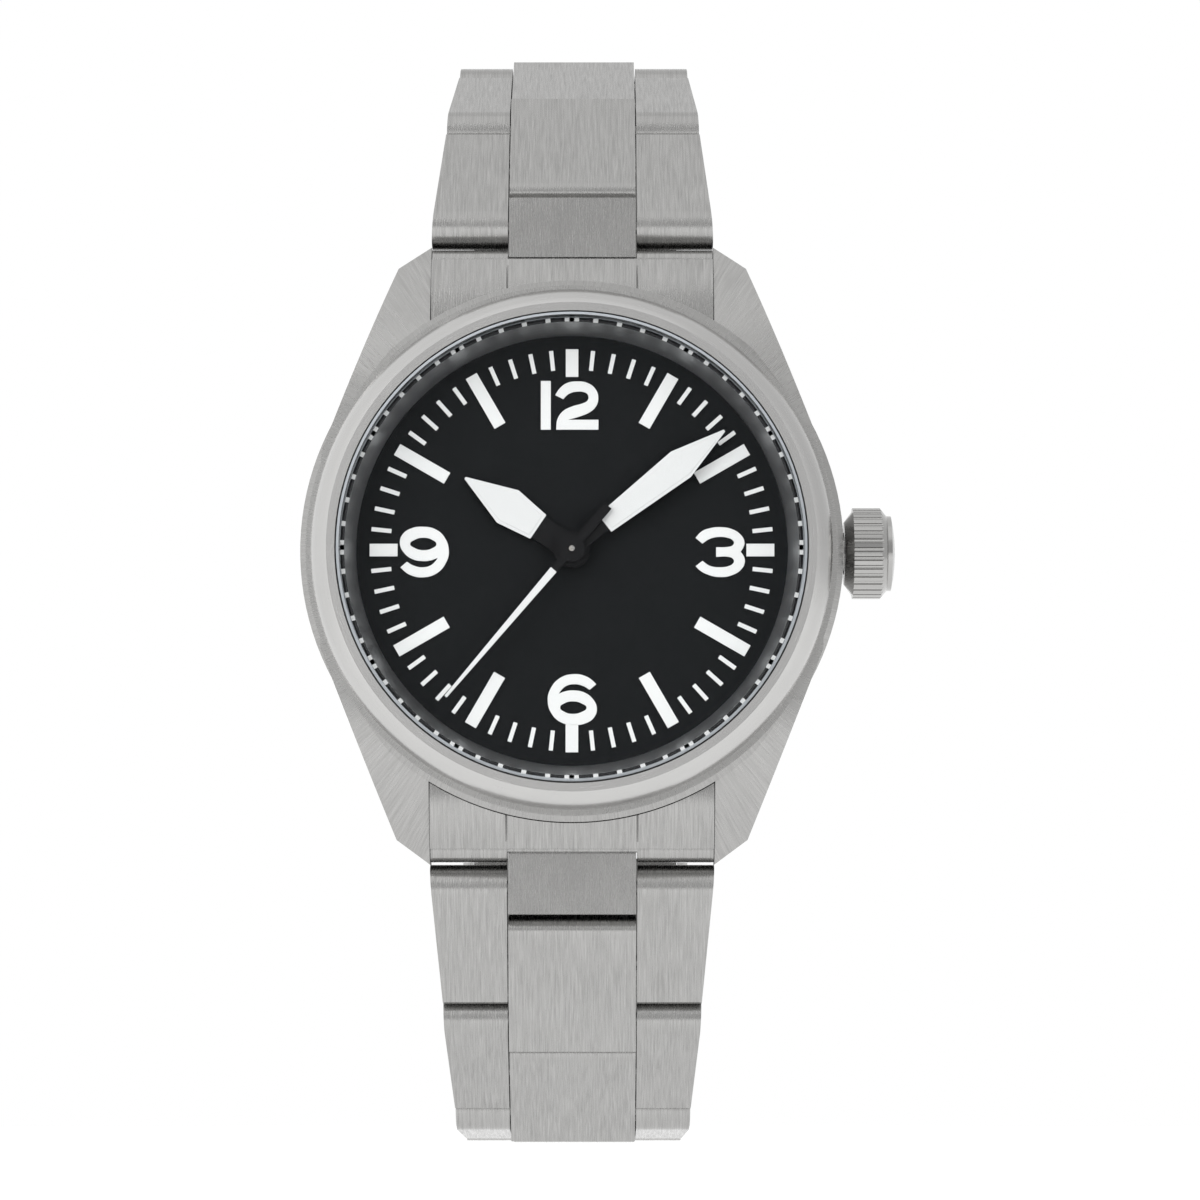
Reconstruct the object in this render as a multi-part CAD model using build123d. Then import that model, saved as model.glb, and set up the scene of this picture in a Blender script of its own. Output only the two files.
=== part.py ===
"""Self-winding field watch, closed on its three-piece link bracelet and folding clasp.

Everything is drawn lying on its back: X points to 3 o'clock, Y to 12 o'clock and Z out of
the dial, with Z = 0 on the outer face of the case back. Lengths are millimetres and angles
degrees. The finished pieces are stood up at the end, so that 12 o'clock is up and the dial
looks along -Y.
"""

import math
import os

from build123d import *

os.makedirs("parts", exist_ok=True)

# Case: every wall and step is counted from the round body's edge
case_radius = 19.0
case_low = 1.2
case_high = 7.6
case_edge = 0.4
back_bore_wall = 3.4
back_bore = case_radius - back_bore_wall
back_bore_depth = 1.2
movement_bore_wall = 4.1
movement_bore = case_radius - movement_bore_wall
dial_ledge = 6.6
dial_bore_wall = 2.85
dial_bore = case_radius - dial_bore_wall
overrun = 1.0

# Lugs: how far each reaches past the round body, or starts inside it
lug_inner_x = 10.0
lug_outer_x = 12.3
lug_outer_reach = 1.2
lug_outer_y = case_radius + lug_outer_reach
lug_tip_reach = 2.9
lug_tip_y = case_radius + lug_tip_reach
lug_flank_inset = 0.15
lug_root_inset = 1.8
lug_root_radius = case_radius - lug_root_inset
lug_tip_high = 3.6
lug_tip_low = 0.7
lug_crest_inset = 8.5
lug_crest_y = case_radius - lug_crest_inset
lug_bulge_inset = 2.0
lug_bulge_y = case_radius - lug_bulge_inset
lug_bulge_high = 6.35
lug_belly_inset = 5.0
lug_belly_y = case_radius - lug_belly_inset

# Spring bars that hold the end links
bar_reach = 0.85
bar_y = case_radius + bar_reach
bar_high = 2.4
bar_radius = 0.65
bar_tip_radius = 0.4
bar_tip_length = 0.8
running_gap = 0.05

# Bezel and crystal
bezel_step = 0.8
bezel_radius = case_radius - bezel_step
bezel_side_high = 8.25
bezel_top = 10.5
bezel_slope_width = 1.2
bezel_top_radius = bezel_radius - bezel_slope_width
bezel_arc_inset = 0.35
bezel_arc_radius = bezel_radius - bezel_arc_inset
bezel_arc_high = 9.6
crystal_ledge = 0.15
crystal_radius = dial_bore + crystal_ledge
crystal_low = 9.2
crystal_top = 10.9
crystal_chamfer = 0.3
crystal_gasket_wall = 0.12
crystal_gasket_high = 1.1

# Dial, its chapter ring and its markers, counted inwards from the dial's edge
dial_clearance = 0.1
dial_radius = dial_bore - dial_clearance
dial_thickness = 0.4
dial_hole = 1.0
chapter_foot_width = 0.95
chapter_foot_radius = dial_radius - chapter_foot_width
chapter_clearance = 0.05
chapter_radius = dial_bore - chapter_clearance
chapter_lip_width = 0.3
chapter_lip_radius = chapter_radius - chapter_lip_width
chapter_high = 2.1
marker_high = 0.08
baton_inset = 0.95
baton_outer_r = chapter_foot_radius - baton_inset
baton_length = 4.05
baton_inner_r = baton_outer_r - baton_length
baton_width = 0.88
short_baton_length = 1.95
short_baton_inner_r = baton_outer_r - short_baton_length
tick_inset = 1.0
tick_outer_r = chapter_foot_radius - tick_inset
tick_length = 1.4
tick_inner_r = tick_outer_r - tick_length
tick_width = 0.29
minutes_round = 60
minutes_per_hour_mark = 5
hour_marks_per_numeral = 3

# Hands: distances along the hand from the centre, then full widths
hour_hand_angle = 303.9
hour_hand_low = 7.45
hour_tip_gap = 1.1
hour_hand_length = baton_inner_r - hour_tip_gap
hour_lume_start = 2.83
hour_lume_start_width = 2.0
hour_shoulder = 5.4
hour_shoulder_width = 2.72
hour_hub_radius = 1.3
hour_neck_width = 1.75
minute_hand_angle = 52.1
minute_hand_low = 7.95
minute_tip_overlap = 0.8
minute_hand_length = tick_inner_r + minute_tip_overlap
minute_lume_start = 2.9
minute_lume_start_width = 1.5
minute_shoulder = 9.64
minute_shoulder_width = 2.25
minute_hub_radius = 1.25
minute_neck_width = 1.05
hand_tip_width = 0.16
hand_rim = 0.17
hand_thickness = 0.15
second_hand_angle = 220.3
second_hand_low = 8.36
second_tip_overlap = 0.85
second_hand_length = tick_inner_r + second_tip_overlap
second_tail = 3.9
second_tail_width = 0.65
second_root_width = 0.58
second_tip_width = 0.2
second_hub_radius = 0.93
second_hand_thickness = 0.12

# Case back
back_step = 2.2
back_radius = case_radius - back_step
back_bevel_width = 1.4
back_flat_radius = back_radius - back_bevel_width
back_bevel_high = 0.6
back_thickness = 1.2
back_thread_clearance = 0.1
back_spigot_radius = back_bore - back_thread_clearance
back_spigot_wall = 0.75
back_spigot_high = 1.1
key_notches = 6
key_notch_width = 2.4
key_notch_depth = 0.5
key_notch_reach = 2.5
key_notch_inner_r = back_radius - key_notch_reach
back_gasket_step = 0.3
back_gasket_inner_r = back_bore + back_gasket_step
back_gasket_width = 0.5
back_gasket_high = 0.5

# Crown, its tube and stem; x runs along the stem
crown_axis_high = 4.2
crown_gap = 0.15
crown_start_x = case_radius + crown_gap
crown_neck_radius = 2.2
crown_neck_length = 0.6
crown_neck_end_x = crown_start_x + crown_neck_length
crown_shoulder_radius = 3.0
crown_radius = 3.2
crown_flute_length = 1.95
crown_flute_end_x = crown_neck_end_x + crown_flute_length
crown_chamfer_length = 0.45
crown_chamfer_end_x = crown_flute_end_x + crown_chamfer_length
crown_cap_radius = 2.65
crown_cap_high = 0.3
crown_cap_rim_x = crown_chamfer_end_x + crown_cap_high
crown_dome_high = 0.3
crown_end_x = crown_cap_rim_x + crown_dome_high
crown_flutes = 32
flute_radius = 0.17
crown_cavity_radius = 1.5
crown_cavity_depth = 1.5
crown_travel = 1.5
tube_radius = 1.25
tube_bore = 0.55
tube_inset = 0.3
tube_inner_x = movement_bore + tube_inset
tube_stand = 1.2
tube_outer_x = case_radius + tube_stand
crown_gasket_wall = 0.2
crown_gasket_width = 0.5
crown_gasket_inset = 0.35
crown_gasket_x = crown_start_x + crown_gasket_inset
stem_radius = 0.45
stem_inner_x = 8.3
stem_groove_radius = 0.28
stem_groove_width = 0.5
stem_groove_x = 11.0

# Movement: plates
plate_radius = 12.9
plate_low = 5.3
plate_high = 6.0
bridge_radius = 12.6
bridge_low = 3.0
bridge_thickness = 0.7
spacer_side_clearance = 0.2
spacer_radius = movement_bore - spacer_side_clearance
spacer_low = 2.4
spacer_clearance = 0.1
stem_slot_half_width = 1.6
post_radius = 0.8
post_circle_radius = 11.6
post_angles = (25, 150, 205, 330)
screw_radius = 0.35
screw_head_radius = 0.65
screw_head_high = 0.2
pivot_radius = 0.12
jewel_radius = 0.55
jewel_thickness = 0.3

# Movement: going train. Tooth shares count modules up and down, then pitches across
tip_share = 1.0
root_share = 1.15
crest_share = 0.12
foot_share = 0.28
wheel_thickness = 0.15
arbor_radius = 0.2
centre_teeth = 64
centre_pinion_leaves = 12
centre_level = 4.3
centre_arbor_radius = 0.4
centre_bore = 0.24
centre_top_radius = 0.32
centre_top_high = 7.5
centre_module = 0.105
third_teeth = 60
third_pinion_leaves = 8
third_level = 4.05
third_angle = 200
fourth_teeth = 70
fourth_pinion_leaves = 8
fourth_level = 3.8
fourth_module = 0.1
escape_teeth = 15
escape_pinion_leaves = 7
escape_level = 4.6
escape_angle = 300
escape_radius = 2.0
barrel_teeth = 72
barrel_module = 0.15
barrel_angle = 55
barrel_level = 4.55
barrel_high = 0.65
barrel_drum_radius = 5.0
barrel_wall = 0.25
mainspring_turns = 5
spiral_steps = 16
mainspring_thickness = 0.22
barrel_arbor_radius = 1.1
wheel_holes = 5

# Movement: escapement and balance
pallet_distance = 3.0
pallet_direction = 235
balance_distance = 3.6
balance_radius = 3.3
balance_rim = 0.5
balance_level = 4.05
balance_high = 0.35
balance_spokes = 3
spoke_width = 0.35
roller_radius = 0.45
roller_level = 4.5
impulse_pin_radius = 0.07
impulse_pin_place = 0.35
hairspring_turns = 5
hairspring_outer_radius = 1.9
hairspring_inner_radius = 0.42
hairspring_thickness = 0.07
hairspring_level = 3.8
hairspring_high = 0.18
lever_width = 0.32
pallet_spread = 1.15
pallet_length = 0.55

# Movement: motion work under the dial
cannon_leaves = 10
minute_wheel_teeth = 30
minute_pinion_leaves = 8
hour_wheel_teeth = 32
motion_module = 0.12
motion_angle = 335
cannon_level = 6.05
cannon_leaf_high = 0.2
cannon_radius = 0.52
cannon_bore = 0.37
minute_wheel_level = 6.08
hour_wheel_level = 6.3
hour_pipe_bore = 0.57
hour_pipe_radius = 0.78

# Movement: winding work and rotor
ratchet_teeth = 48
crown_wheel_teeth = 31
winding_module = 0.15
winding_level = 2.73
winding_pinion_radius = 1.22
winding_pinion_length = 1.5
winding_pinion_leaves = 14
setting_lever_reach = 3.4
setting_lever_level = 4.76
setting_lever_width = 0.7
rotor_radius = 12.2
rotor_web_low = 1.75
rotor_web_high = 2.2
rotor_rim_inner_r = 9.6
rotor_rim_low = 1.5
rotor_rim_high = 2.55
rotor_hub_radius = 2.0
rotor_bearing_radius = 1.3
rotor_bearing_low = 1.6

# Bracelet rows: rest slopes run from the case to the clasp, counted from the dial's plane
link_pitch = 10.0
link_thickness = 3.2
row_gap = 0.12
side_gap = 0.08
centre_width = 9.0
tongue_reach = 1.9
tongue_gap = 0.14
centre_roll_radius = 0.9
link_edge = 0.2
pin_radius = 0.5
pin_inset = 0.1
own_pin_place = 5.6
first_pin_reach = 4.5
first_pin_y = case_radius + first_pin_reach
first_pin_high = 2.6
upper_slopes = (37.0, 61.0, 87.0, 120.0, 155.0)
lower_slopes = (22.5, 48.5, 83.0, 112.5, 140.0, 165.0)
row_widths = (20.0, 18.3, 17.0, 16.0)

# End links
end_link_clearance = 0.06
end_link_start_depth = 0.65
end_link_start_y = math.sqrt(case_radius**2 - lug_inner_x**2) - end_link_start_depth
end_link_case_high = 6.3
end_link_tip_high = 4.35
end_link_mid_reach = 0.9
end_link_mid_y = case_radius + end_link_mid_reach
end_link_mid_high = 5.75
end_link_low = 1.0
end_link_outer_reach = 2.72
end_link_outer_end_y = case_radius + end_link_outer_reach
end_link_centre_reach = 2.0
end_link_centre_end_y = case_radius + end_link_centre_reach
end_link_round = 0.9
seam_width = 0.14
seam_depth = 0.25

# Clasp: offsets are counted outwards from the arc that joins the two last pins
clasp_arc_radius = 70.0
cover_width = 17.8
cover_wall = 0.8
cover_top_offset = 2.5
cover_inner_offset = 1.65
cover_wall_offset = -2.0
cover_start_inset = 0.5
cover_end_inset = 2.1
cover_edge = 0.35
adjust_holes = 4
adjust_hole_radius = 0.45
adjust_hole_pitch = 2.2
blade_width = 12.0
blade_thickness = 0.8
outer_hinge_inset = 6.0
outer_hinge_offset = -0.1
outer_hinge_tube = 1.05
outer_hinge_gap = 0.2
inner_hinge_inset = 10.0
inner_hinge_offset = -1.2
inner_hinge_tube = 0.95
middle_blade_offset = -0.95
inner_blade_offset = -2.2
hinge_tongue_width = 5.0
hinge_side_gap = 0.1
fork_ear_radius = 1.5
fork_slot_width = 9.2
fork_ear_root = 5.0
fork_plate_inset = 3.2
fork_shoulder = 1.06
held_bar_length = 8.6
button_radius = 1.1
button_stand = 0.55
button_collar_radius = 1.5
button_collar = 0.5
button_place = -3.0
button_offset = -0.1


def along(angle, distance):
    """Point at a distance from the origin, the angle counted from 3 o'clock."""
    return (distance * math.cos(math.radians(angle)), distance * math.sin(math.radians(angle)))


def turned(*points):
    """Solid of revolution about Z from (radius, height) points."""
    return revolve(Plane.XZ * make_face(Polyline(*points, close=True)), Axis.Z)


def disc(radius, low, high, bore=0.0, at=(0.0, 0.0)):
    """Round plate or ring between two heights."""
    face = Circle(radius) - Circle(bore) if bore else Circle(radius)
    return Pos(at[0], at[1], low) * extrude(face, amount=high - low)


def slab(face, low, high):
    """A flat outline given a thickness between two heights."""
    return Pos(0, 0, low) * extrude(face, amount=high - low)


def polygon(*points):
    """Closed flat face through the points."""
    return make_face(Polyline(*points, close=True))


def across(profile, half_width, middle=0.0):
    """Side profile in Y and Z, given a width along X."""
    return Pos(middle, 0, 0) * extrude(Plane.YZ * profile, amount=half_width, both=True)


def cross_bar(radius, length, y, z, x=0.0):
    """Round bar along X."""
    return Pos(x, y, z) * Rot(0, 90, 0) * Cylinder(radius, length)


def toothed(teeth, module, low, high, bore, at=(0.0, 0.0), phase=0.0):
    """Toothed wheel or pinion with straight-flanked teeth, the first one at the phase's angle."""
    root = module * (teeth / 2 - root_share)
    tip = module * (teeth / 2 + tip_share)
    points = []
    for tooth in range(teeth):
        for share, radius in (
            (-foot_share, root), (-crest_share, tip), (crest_share, tip), (foot_share, root)
        ):
            points.append(along(phase + (tooth + share) * 360 / teeth, radius))
    face = polygon(*points)
    if bore:
        face -= Circle(bore)
    return Pos(at[0], at[1], low) * extrude(face, amount=high - low)


def meshed(teeth, direction, mate_teeth, phase=0.0):
    """Phase that sets a mating wheel's teeth in the gaps of the first, seen along a direction."""
    share = (direction - phase) * teeth / 360
    return direction + 180 - (1 / 2 - share) * 360 / mate_teeth


def spiral_band(inner, outer, turns, thickness, low, high, at=(0.0, 0.0)):
    """Flat spring: one band that winds outwards at a steady rate."""
    steps = turns * spiral_steps
    radii = [inner + (outer - inner) * step / steps for step in range(steps + 1)]
    angles = [360 * step / spiral_steps for step in range(steps + 1)]
    outside = [along(angle, radius + thickness / 2) for angle, radius in zip(angles, radii)]
    inside = [along(angle, radius - thickness / 2) for angle, radius in zip(angles, radii)]
    return Pos(at[0], at[1], low) * extrude(polygon(*outside, *reversed(inside)), amount=high - low)


nodes = {}


# Case middle: a round body, four lugs tangent to it, and the bores inside
def lug_outline():
    """Plan of the four lugs and the flanks between them, mirrored about both axes."""
    reach = math.hypot(lug_outer_x, lug_outer_y)
    corner_angle = math.degrees(math.atan2(lug_outer_y, lug_outer_x))
    flank_radius = case_radius - lug_flank_inset
    touch = along(corner_angle - math.degrees(math.acos(flank_radius / reach)), flank_radius)
    quarter = [touch, (lug_outer_x, lug_outer_y), (lug_inner_x, lug_tip_y)]
    right = quarter + [(-x, y) for x, y in reversed(quarter)]
    return polygon(*right, *[(-x, -y) for x, y in right])


def lug_side():
    """Side view of the lugs: the crest falls in an arc to the tips."""
    crests = [
        ThreePointArc(
            (side * lug_crest_y, case_high), (side * lug_bulge_y, lug_bulge_high), (side * lug_tip_y, lug_tip_high))
        for side in (1, -1)
    ]
    under = Polyline(
        (lug_tip_y, lug_tip_high), (lug_tip_y, lug_tip_low), (lug_belly_y, case_low),
        (-lug_belly_y, case_low), (-lug_tip_y, lug_tip_low), (-lug_tip_y, lug_tip_high),
    )
    return make_face(Curve() + [*crests, under, Line((-lug_crest_y, case_high), (lug_crest_y, case_high))])


def lug_gap():
    """Space between each pair of lugs, as far in as the round body."""
    gap = Pos(0, lug_tip_y) * Rectangle(2 * lug_inner_x, 2 * lug_tip_y)
    return gap - Circle(case_radius)


def make_case_middle():
    """Case middle with lugs, bores, spring-bar holes and the crown tube's hole."""
    body = turned(
        (0, case_low), (case_radius, case_low), (case_radius, case_high - case_edge),
        (case_radius - case_edge, case_high), (0, case_high),
    )
    lugs = slab(lug_outline() - Circle(lug_root_radius), lug_tip_low, case_high)
    lugs &= across(lug_side(), lug_outer_x + case_radius)
    case = body + lugs
    gap = slab(lug_gap(), lug_tip_low - overrun, case_high + overrun)
    case -= gap
    case -= Rot(0, 0, 180) * gap
    case -= disc(back_bore, case_low - overrun, case_low + back_bore_depth)
    case -= disc(movement_bore, case_low, dial_ledge)
    case -= disc(dial_bore, dial_ledge, case_high + overrun)
    case -= disc(
        back_gasket_inner_r + back_gasket_width + running_gap, case_low - overrun,
        case_low + back_gasket_high + running_gap, back_gasket_inner_r - running_gap,
    )
    for side in (1, -1):
        case -= cross_bar(bar_tip_radius, 2 * (lug_inner_x + bar_tip_length + running_gap), side * bar_y, bar_high)
    tube_length = case_radius - movement_bore + 2 * overrun
    case -= cross_bar(tube_radius, tube_length, 0, crown_axis_high, movement_bore + tube_length / 2 - overrun)
    return case


nodes["case_middle"] = [make_case_middle()]


# Bezel, crystal and what seals and frames the dial
def make_bezel():
    """Smooth bezel with a rounded slope outside and the crystal's seat inside."""
    slope = ThreePointArc(
        (bezel_radius, bezel_side_high), (bezel_arc_radius, bezel_arc_high), (bezel_top_radius, bezel_top)
    )
    seat = crystal_radius + crystal_gasket_wall
    inside = Polyline(
        (bezel_top_radius, bezel_top), (seat, bezel_top), (seat, crystal_low), (dial_bore, crystal_low),
        (dial_bore, case_high), (bezel_radius, case_high), (bezel_radius, bezel_side_high),
    )
    return revolve(Plane.XZ * make_face(Curve() + [slope, inside]), Axis.Z)


nodes["bezel"] = [make_bezel()]
nodes["crystal"] = [turned(
    (0, crystal_low), (crystal_radius, crystal_low), (crystal_radius, crystal_top - crystal_chamfer),
    (crystal_radius - crystal_chamfer, crystal_top), (0, crystal_top),
)]
nodes["crystal_gasket"] = [disc(
    crystal_radius + crystal_gasket_wall, crystal_low, crystal_low + crystal_gasket_high, crystal_radius
)]
dial_top = dial_ledge + dial_thickness
nodes["chapter_ring"] = [turned(
    (chapter_foot_radius, dial_top), (chapter_radius, dial_top),
    (chapter_radius, dial_top + chapter_high), (chapter_lip_radius, dial_top + chapter_high),
)]
nodes["dial"] = [disc(dial_radius, dial_ledge, dial_top, dial_hole)]


def make_marker(minute):
    """One mark of the minute track: a long baton, a short baton by a numeral, or a tick."""
    on_hour = minute % minutes_per_hour_mark == 0
    by_numeral = minute % (minutes_per_hour_mark * hour_marks_per_numeral) == 0
    outer = baton_outer_r if on_hour else tick_outer_r
    inner = short_baton_inner_r if by_numeral else baton_inner_r if on_hour else tick_inner_r
    width = baton_width if on_hour else tick_width
    middle = Pos(0, (outer + inner) / 2, dial_top + marker_high / 2)
    return Rot(0, 0, -360 * minute / minutes_round) * middle * Box(width, outer - inner, marker_high)


nodes["dial_markers"] = [make_marker(minute) for minute in range(minutes_round)]


# Hands
def hand_outline(length, start, start_width, shoulder, shoulder_width, inset):
    """The filled blade of a hour or minute hand, drawn in by the inset on every side."""
    half_start = start_width / 2 - inset
    half_shoulder = shoulder_width / 2 - inset
    half_tip = hand_tip_width / 2
    tip = length - inset * (length - shoulder) / (shoulder_width / 2)
    return polygon(
        (-half_start, start + inset), (half_start, start + inset), (half_shoulder, shoulder),
        (half_tip, tip), (-half_tip, tip), (-half_shoulder, shoulder),
    )


def make_blade_hand(length, start, start_width, shoulder, shoulder_width, hub, neck, bore, low, angle):
    """Metal hand with a hub, a plain neck and a framed blade, and the lume that fills its frame."""
    sizes = (length, start, start_width, shoulder, shoulder_width)
    window = hand_outline(*sizes, hand_rim)
    neck_face = Pos(0, (start + hand_rim) / 2) * Rectangle(neck, start + hand_rim)
    frame = hand_outline(*sizes, 0) + neck_face + Circle(hub) - window - Circle(bore)
    turn = Rot(0, 0, -angle)
    high = low + hand_thickness
    return [turn * slab(frame, low, high), turn * slab(window, low, high)]


nodes["hour_hand"] = make_blade_hand(
    hour_hand_length, hour_lume_start, hour_lume_start_width, hour_shoulder, hour_shoulder_width,
    hour_hub_radius, hour_neck_width, hour_pipe_radius, hour_hand_low, hour_hand_angle,
)
nodes["minute_hand"] = make_blade_hand(
    minute_hand_length, minute_lume_start, minute_lume_start_width, minute_shoulder, minute_shoulder_width,
    minute_hub_radius, minute_neck_width, cannon_radius, minute_hand_low, minute_hand_angle,
)


def make_second_hand():
    """Needle with a short wide tail and a round hub."""
    needle = polygon(
        (-second_root_width / 2, 0), (-second_tip_width / 2, second_hand_length),
        (second_tip_width / 2, second_hand_length), (second_root_width / 2, 0),
    )
    tail = Pos(0, -second_tail / 2) * Rectangle(second_tail_width, second_tail)
    face = needle + tail + Circle(second_hub_radius) - Circle(arbor_radius)
    return Rot(0, 0, -second_hand_angle) * slab(face, second_hand_low, second_hand_low + second_hand_thickness)


nodes["second_hand"] = [make_second_hand()]


# Case back and its gasket
def make_case_back():
    """Screwed back: flat outside, bevelled rim, six key notches and a threaded spigot."""
    spigot_bore = back_spigot_radius - back_spigot_wall
    back = turned(
        (0, 0), (back_flat_radius, 0), (back_radius, back_bevel_high), (back_radius, back_thickness),
        (back_spigot_radius, back_thickness), (back_spigot_radius, back_thickness + back_spigot_high),
        (spigot_bore, back_thickness + back_spigot_high), (spigot_bore, back_thickness), (0, back_thickness),
    )
    length = back_radius - key_notch_inner_r
    for index in range(key_notches):
        spin = Rot(0, 0, 360 * (index + 1 / 2) / key_notches)
        back -= spin * Pos(key_notch_inner_r + length / 2, 0, 0) * Box(length, key_notch_width, 2 * key_notch_depth)
    return back


nodes["case_back"] = [make_case_back()]
nodes["case_back_gasket"] = [disc(
    back_gasket_inner_r + back_gasket_width, case_low, case_low + back_gasket_high, back_gasket_inner_r
)]


# Crown side
def make_crown():
    """Fluted crown: cone neck, straight flutes, a bevel and a slightly domed end."""
    envelope = make_face(Curve() + [
        Polyline(
            (0, crown_cap_rim_x), (0, crown_start_x), (crown_neck_radius, crown_start_x),
            (crown_shoulder_radius, crown_neck_end_x), (crown_radius, crown_neck_end_x),
            (crown_radius, crown_flute_end_x), (crown_cap_radius, crown_chamfer_end_x),
            (crown_cap_radius, crown_cap_rim_x),
        ),
        Line((crown_cap_radius, crown_cap_rim_x), (0, crown_cap_rim_x)),
    ])
    body = revolve(Plane.XZ * envelope, Axis.Z)
    sag = crown_end_x - crown_cap_rim_x
    dome_radius = (crown_cap_radius**2 + sag**2) / (2 * sag)
    ball = Pos(0, 0, crown_end_x - dome_radius) * Sphere(dome_radius)
    body += disc(crown_cap_radius, crown_cap_rim_x, crown_end_x) & ball
    flute_length = crown_chamfer_end_x - crown_neck_end_x
    flute = Pos(crown_radius, 0, crown_neck_end_x + flute_length / 2) * Cylinder(flute_radius, flute_length)
    body -= [Rot(0, 0, 360 * index / crown_flutes) * flute for index in range(crown_flutes)]
    body -= disc(crown_cavity_radius, crown_start_x - overrun, crown_start_x + crown_cavity_depth)
    body -= disc(stem_radius, crown_start_x, crown_start_x + crown_cavity_depth + overrun / 2)
    return Pos(0, 0, crown_axis_high) * Rot(0, 90, 0) * body


def make_stem():
    """Stem from the winding pinion to the crown, with the setting lever's groove."""
    outer_x = crown_start_x + crown_cavity_depth + overrun / 2
    stem = cross_bar(stem_radius, outer_x - stem_inner_x, 0, crown_axis_high, (outer_x + stem_inner_x) / 2)
    groove = cross_bar(stem_radius + overrun, stem_groove_width, 0, crown_axis_high, stem_groove_x)
    return stem - (groove - cross_bar(stem_groove_radius, stem_groove_width, 0, crown_axis_high, stem_groove_x))


def make_crown_tube():
    """Tube pressed into the case wall, which the stem runs through."""
    length = tube_outer_x - tube_inner_x
    middle = (tube_outer_x + tube_inner_x) / 2
    return cross_bar(tube_radius, length, 0, crown_axis_high, middle) - cross_bar(
        tube_bore, length, 0, crown_axis_high, middle)


def make_crown_gasket():
    """Seal inside the crown that wipes the outside of the tube."""
    inner = crown_cavity_radius - crown_gasket_wall
    middle = crown_gasket_x + crown_gasket_width / 2
    ring = cross_bar(crown_cavity_radius, crown_gasket_width, 0, crown_axis_high, middle)
    return ring - cross_bar(inner, crown_gasket_width, 0, crown_axis_high, middle)


nodes["crown"] = [make_crown()]
nodes["winding_stem"] = [make_stem()]
nodes["crown_tube"] = [make_crown_tube()]
nodes["crown_gasket"] = [make_crown_gasket()]

# Where the movement's arbors stand
third_distance = centre_module * (centre_teeth + third_pinion_leaves) / 2
third_module = 2 * third_distance / (third_teeth + fourth_pinion_leaves)
third_at = along(third_angle, third_distance)
escape_distance = fourth_module * (fourth_teeth + escape_pinion_leaves) / 2
escape_at = along(escape_angle, escape_distance)
barrel_distance = barrel_module * (barrel_teeth + centre_pinion_leaves) / 2
barrel_at = along(barrel_angle, barrel_distance)
pallet_step = along(pallet_direction, pallet_distance)
pallet_at = (escape_at[0] + pallet_step[0], escape_at[1] + pallet_step[1])
balance_step = along(pallet_direction, balance_distance)
balance_at = (pallet_at[0] + balance_step[0], pallet_at[1] + balance_step[1])
motion_at = along(motion_angle, motion_module * (cannon_leaves + minute_wheel_teeth) / 2)
winding_distance = winding_module * (ratchet_teeth + crown_wheel_teeth) / 2
crown_wheel_at = (barrel_at[0] + math.sqrt(winding_distance**2 - barrel_at[1] ** 2), 0.0)
winding_pinion_x = crown_wheel_at[0] + winding_module * (crown_wheel_teeth / 2 + 1) + running_gap
posts_at = [along(angle, post_circle_radius) for angle in post_angles]
cock_post_angle = 225
cock_post_at = along(cock_post_angle, post_circle_radius)
cock_width = 2.2
cock_clearance = 0.25
bridge_top = bridge_low + bridge_thickness


# Plates and bridges
def make_main_plate():
    """Plate that the movement is built on, with its bearing holes and the winding pinion's pocket."""
    plate = disc(plate_radius, plate_low, plate_high, centre_arbor_radius + running_gap)
    for x, y in (third_at, escape_at, pallet_at, balance_at):
        plate -= disc(pivot_radius + running_gap, plate_low - overrun, plate_high + overrun, at=(x, y))
    for x, y in (*posts_at, cock_post_at):
        plate -= disc(screw_radius, plate_low - overrun, plate_high + overrun, at=(x, y))
    plate += disc(pivot_radius - running_gap, plate_high - running_gap, dial_ledge - running_gap, at=motion_at)
    pocket_length = winding_pinion_length + 4 * running_gap
    pocket = Pos(winding_pinion_x + winding_pinion_length / 2, 0, crown_axis_high)
    plate -= pocket * Rot(0, 90, 0) * Cylinder(winding_pinion_radius + 2 * running_gap, pocket_length)
    return plate


def cock_face(clearance):
    """Outline of the balance cock, from its post to the balance's axis."""
    dx, dy = balance_at[0] - cock_post_at[0], balance_at[1] - cock_post_at[1]
    length = math.hypot(dx, dy)
    angle = math.degrees(math.atan2(dy, dx))
    middle = ((balance_at[0] + cock_post_at[0]) / 2, (balance_at[1] + cock_post_at[1]) / 2)
    half = cock_width / 2 + clearance
    bar = Pos(*middle) * Rot(0, 0, angle) * Rectangle(length, 2 * half)
    return bar + Pos(*balance_at) * Circle(half) + Pos(*cock_post_at) * Circle(half)


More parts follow.
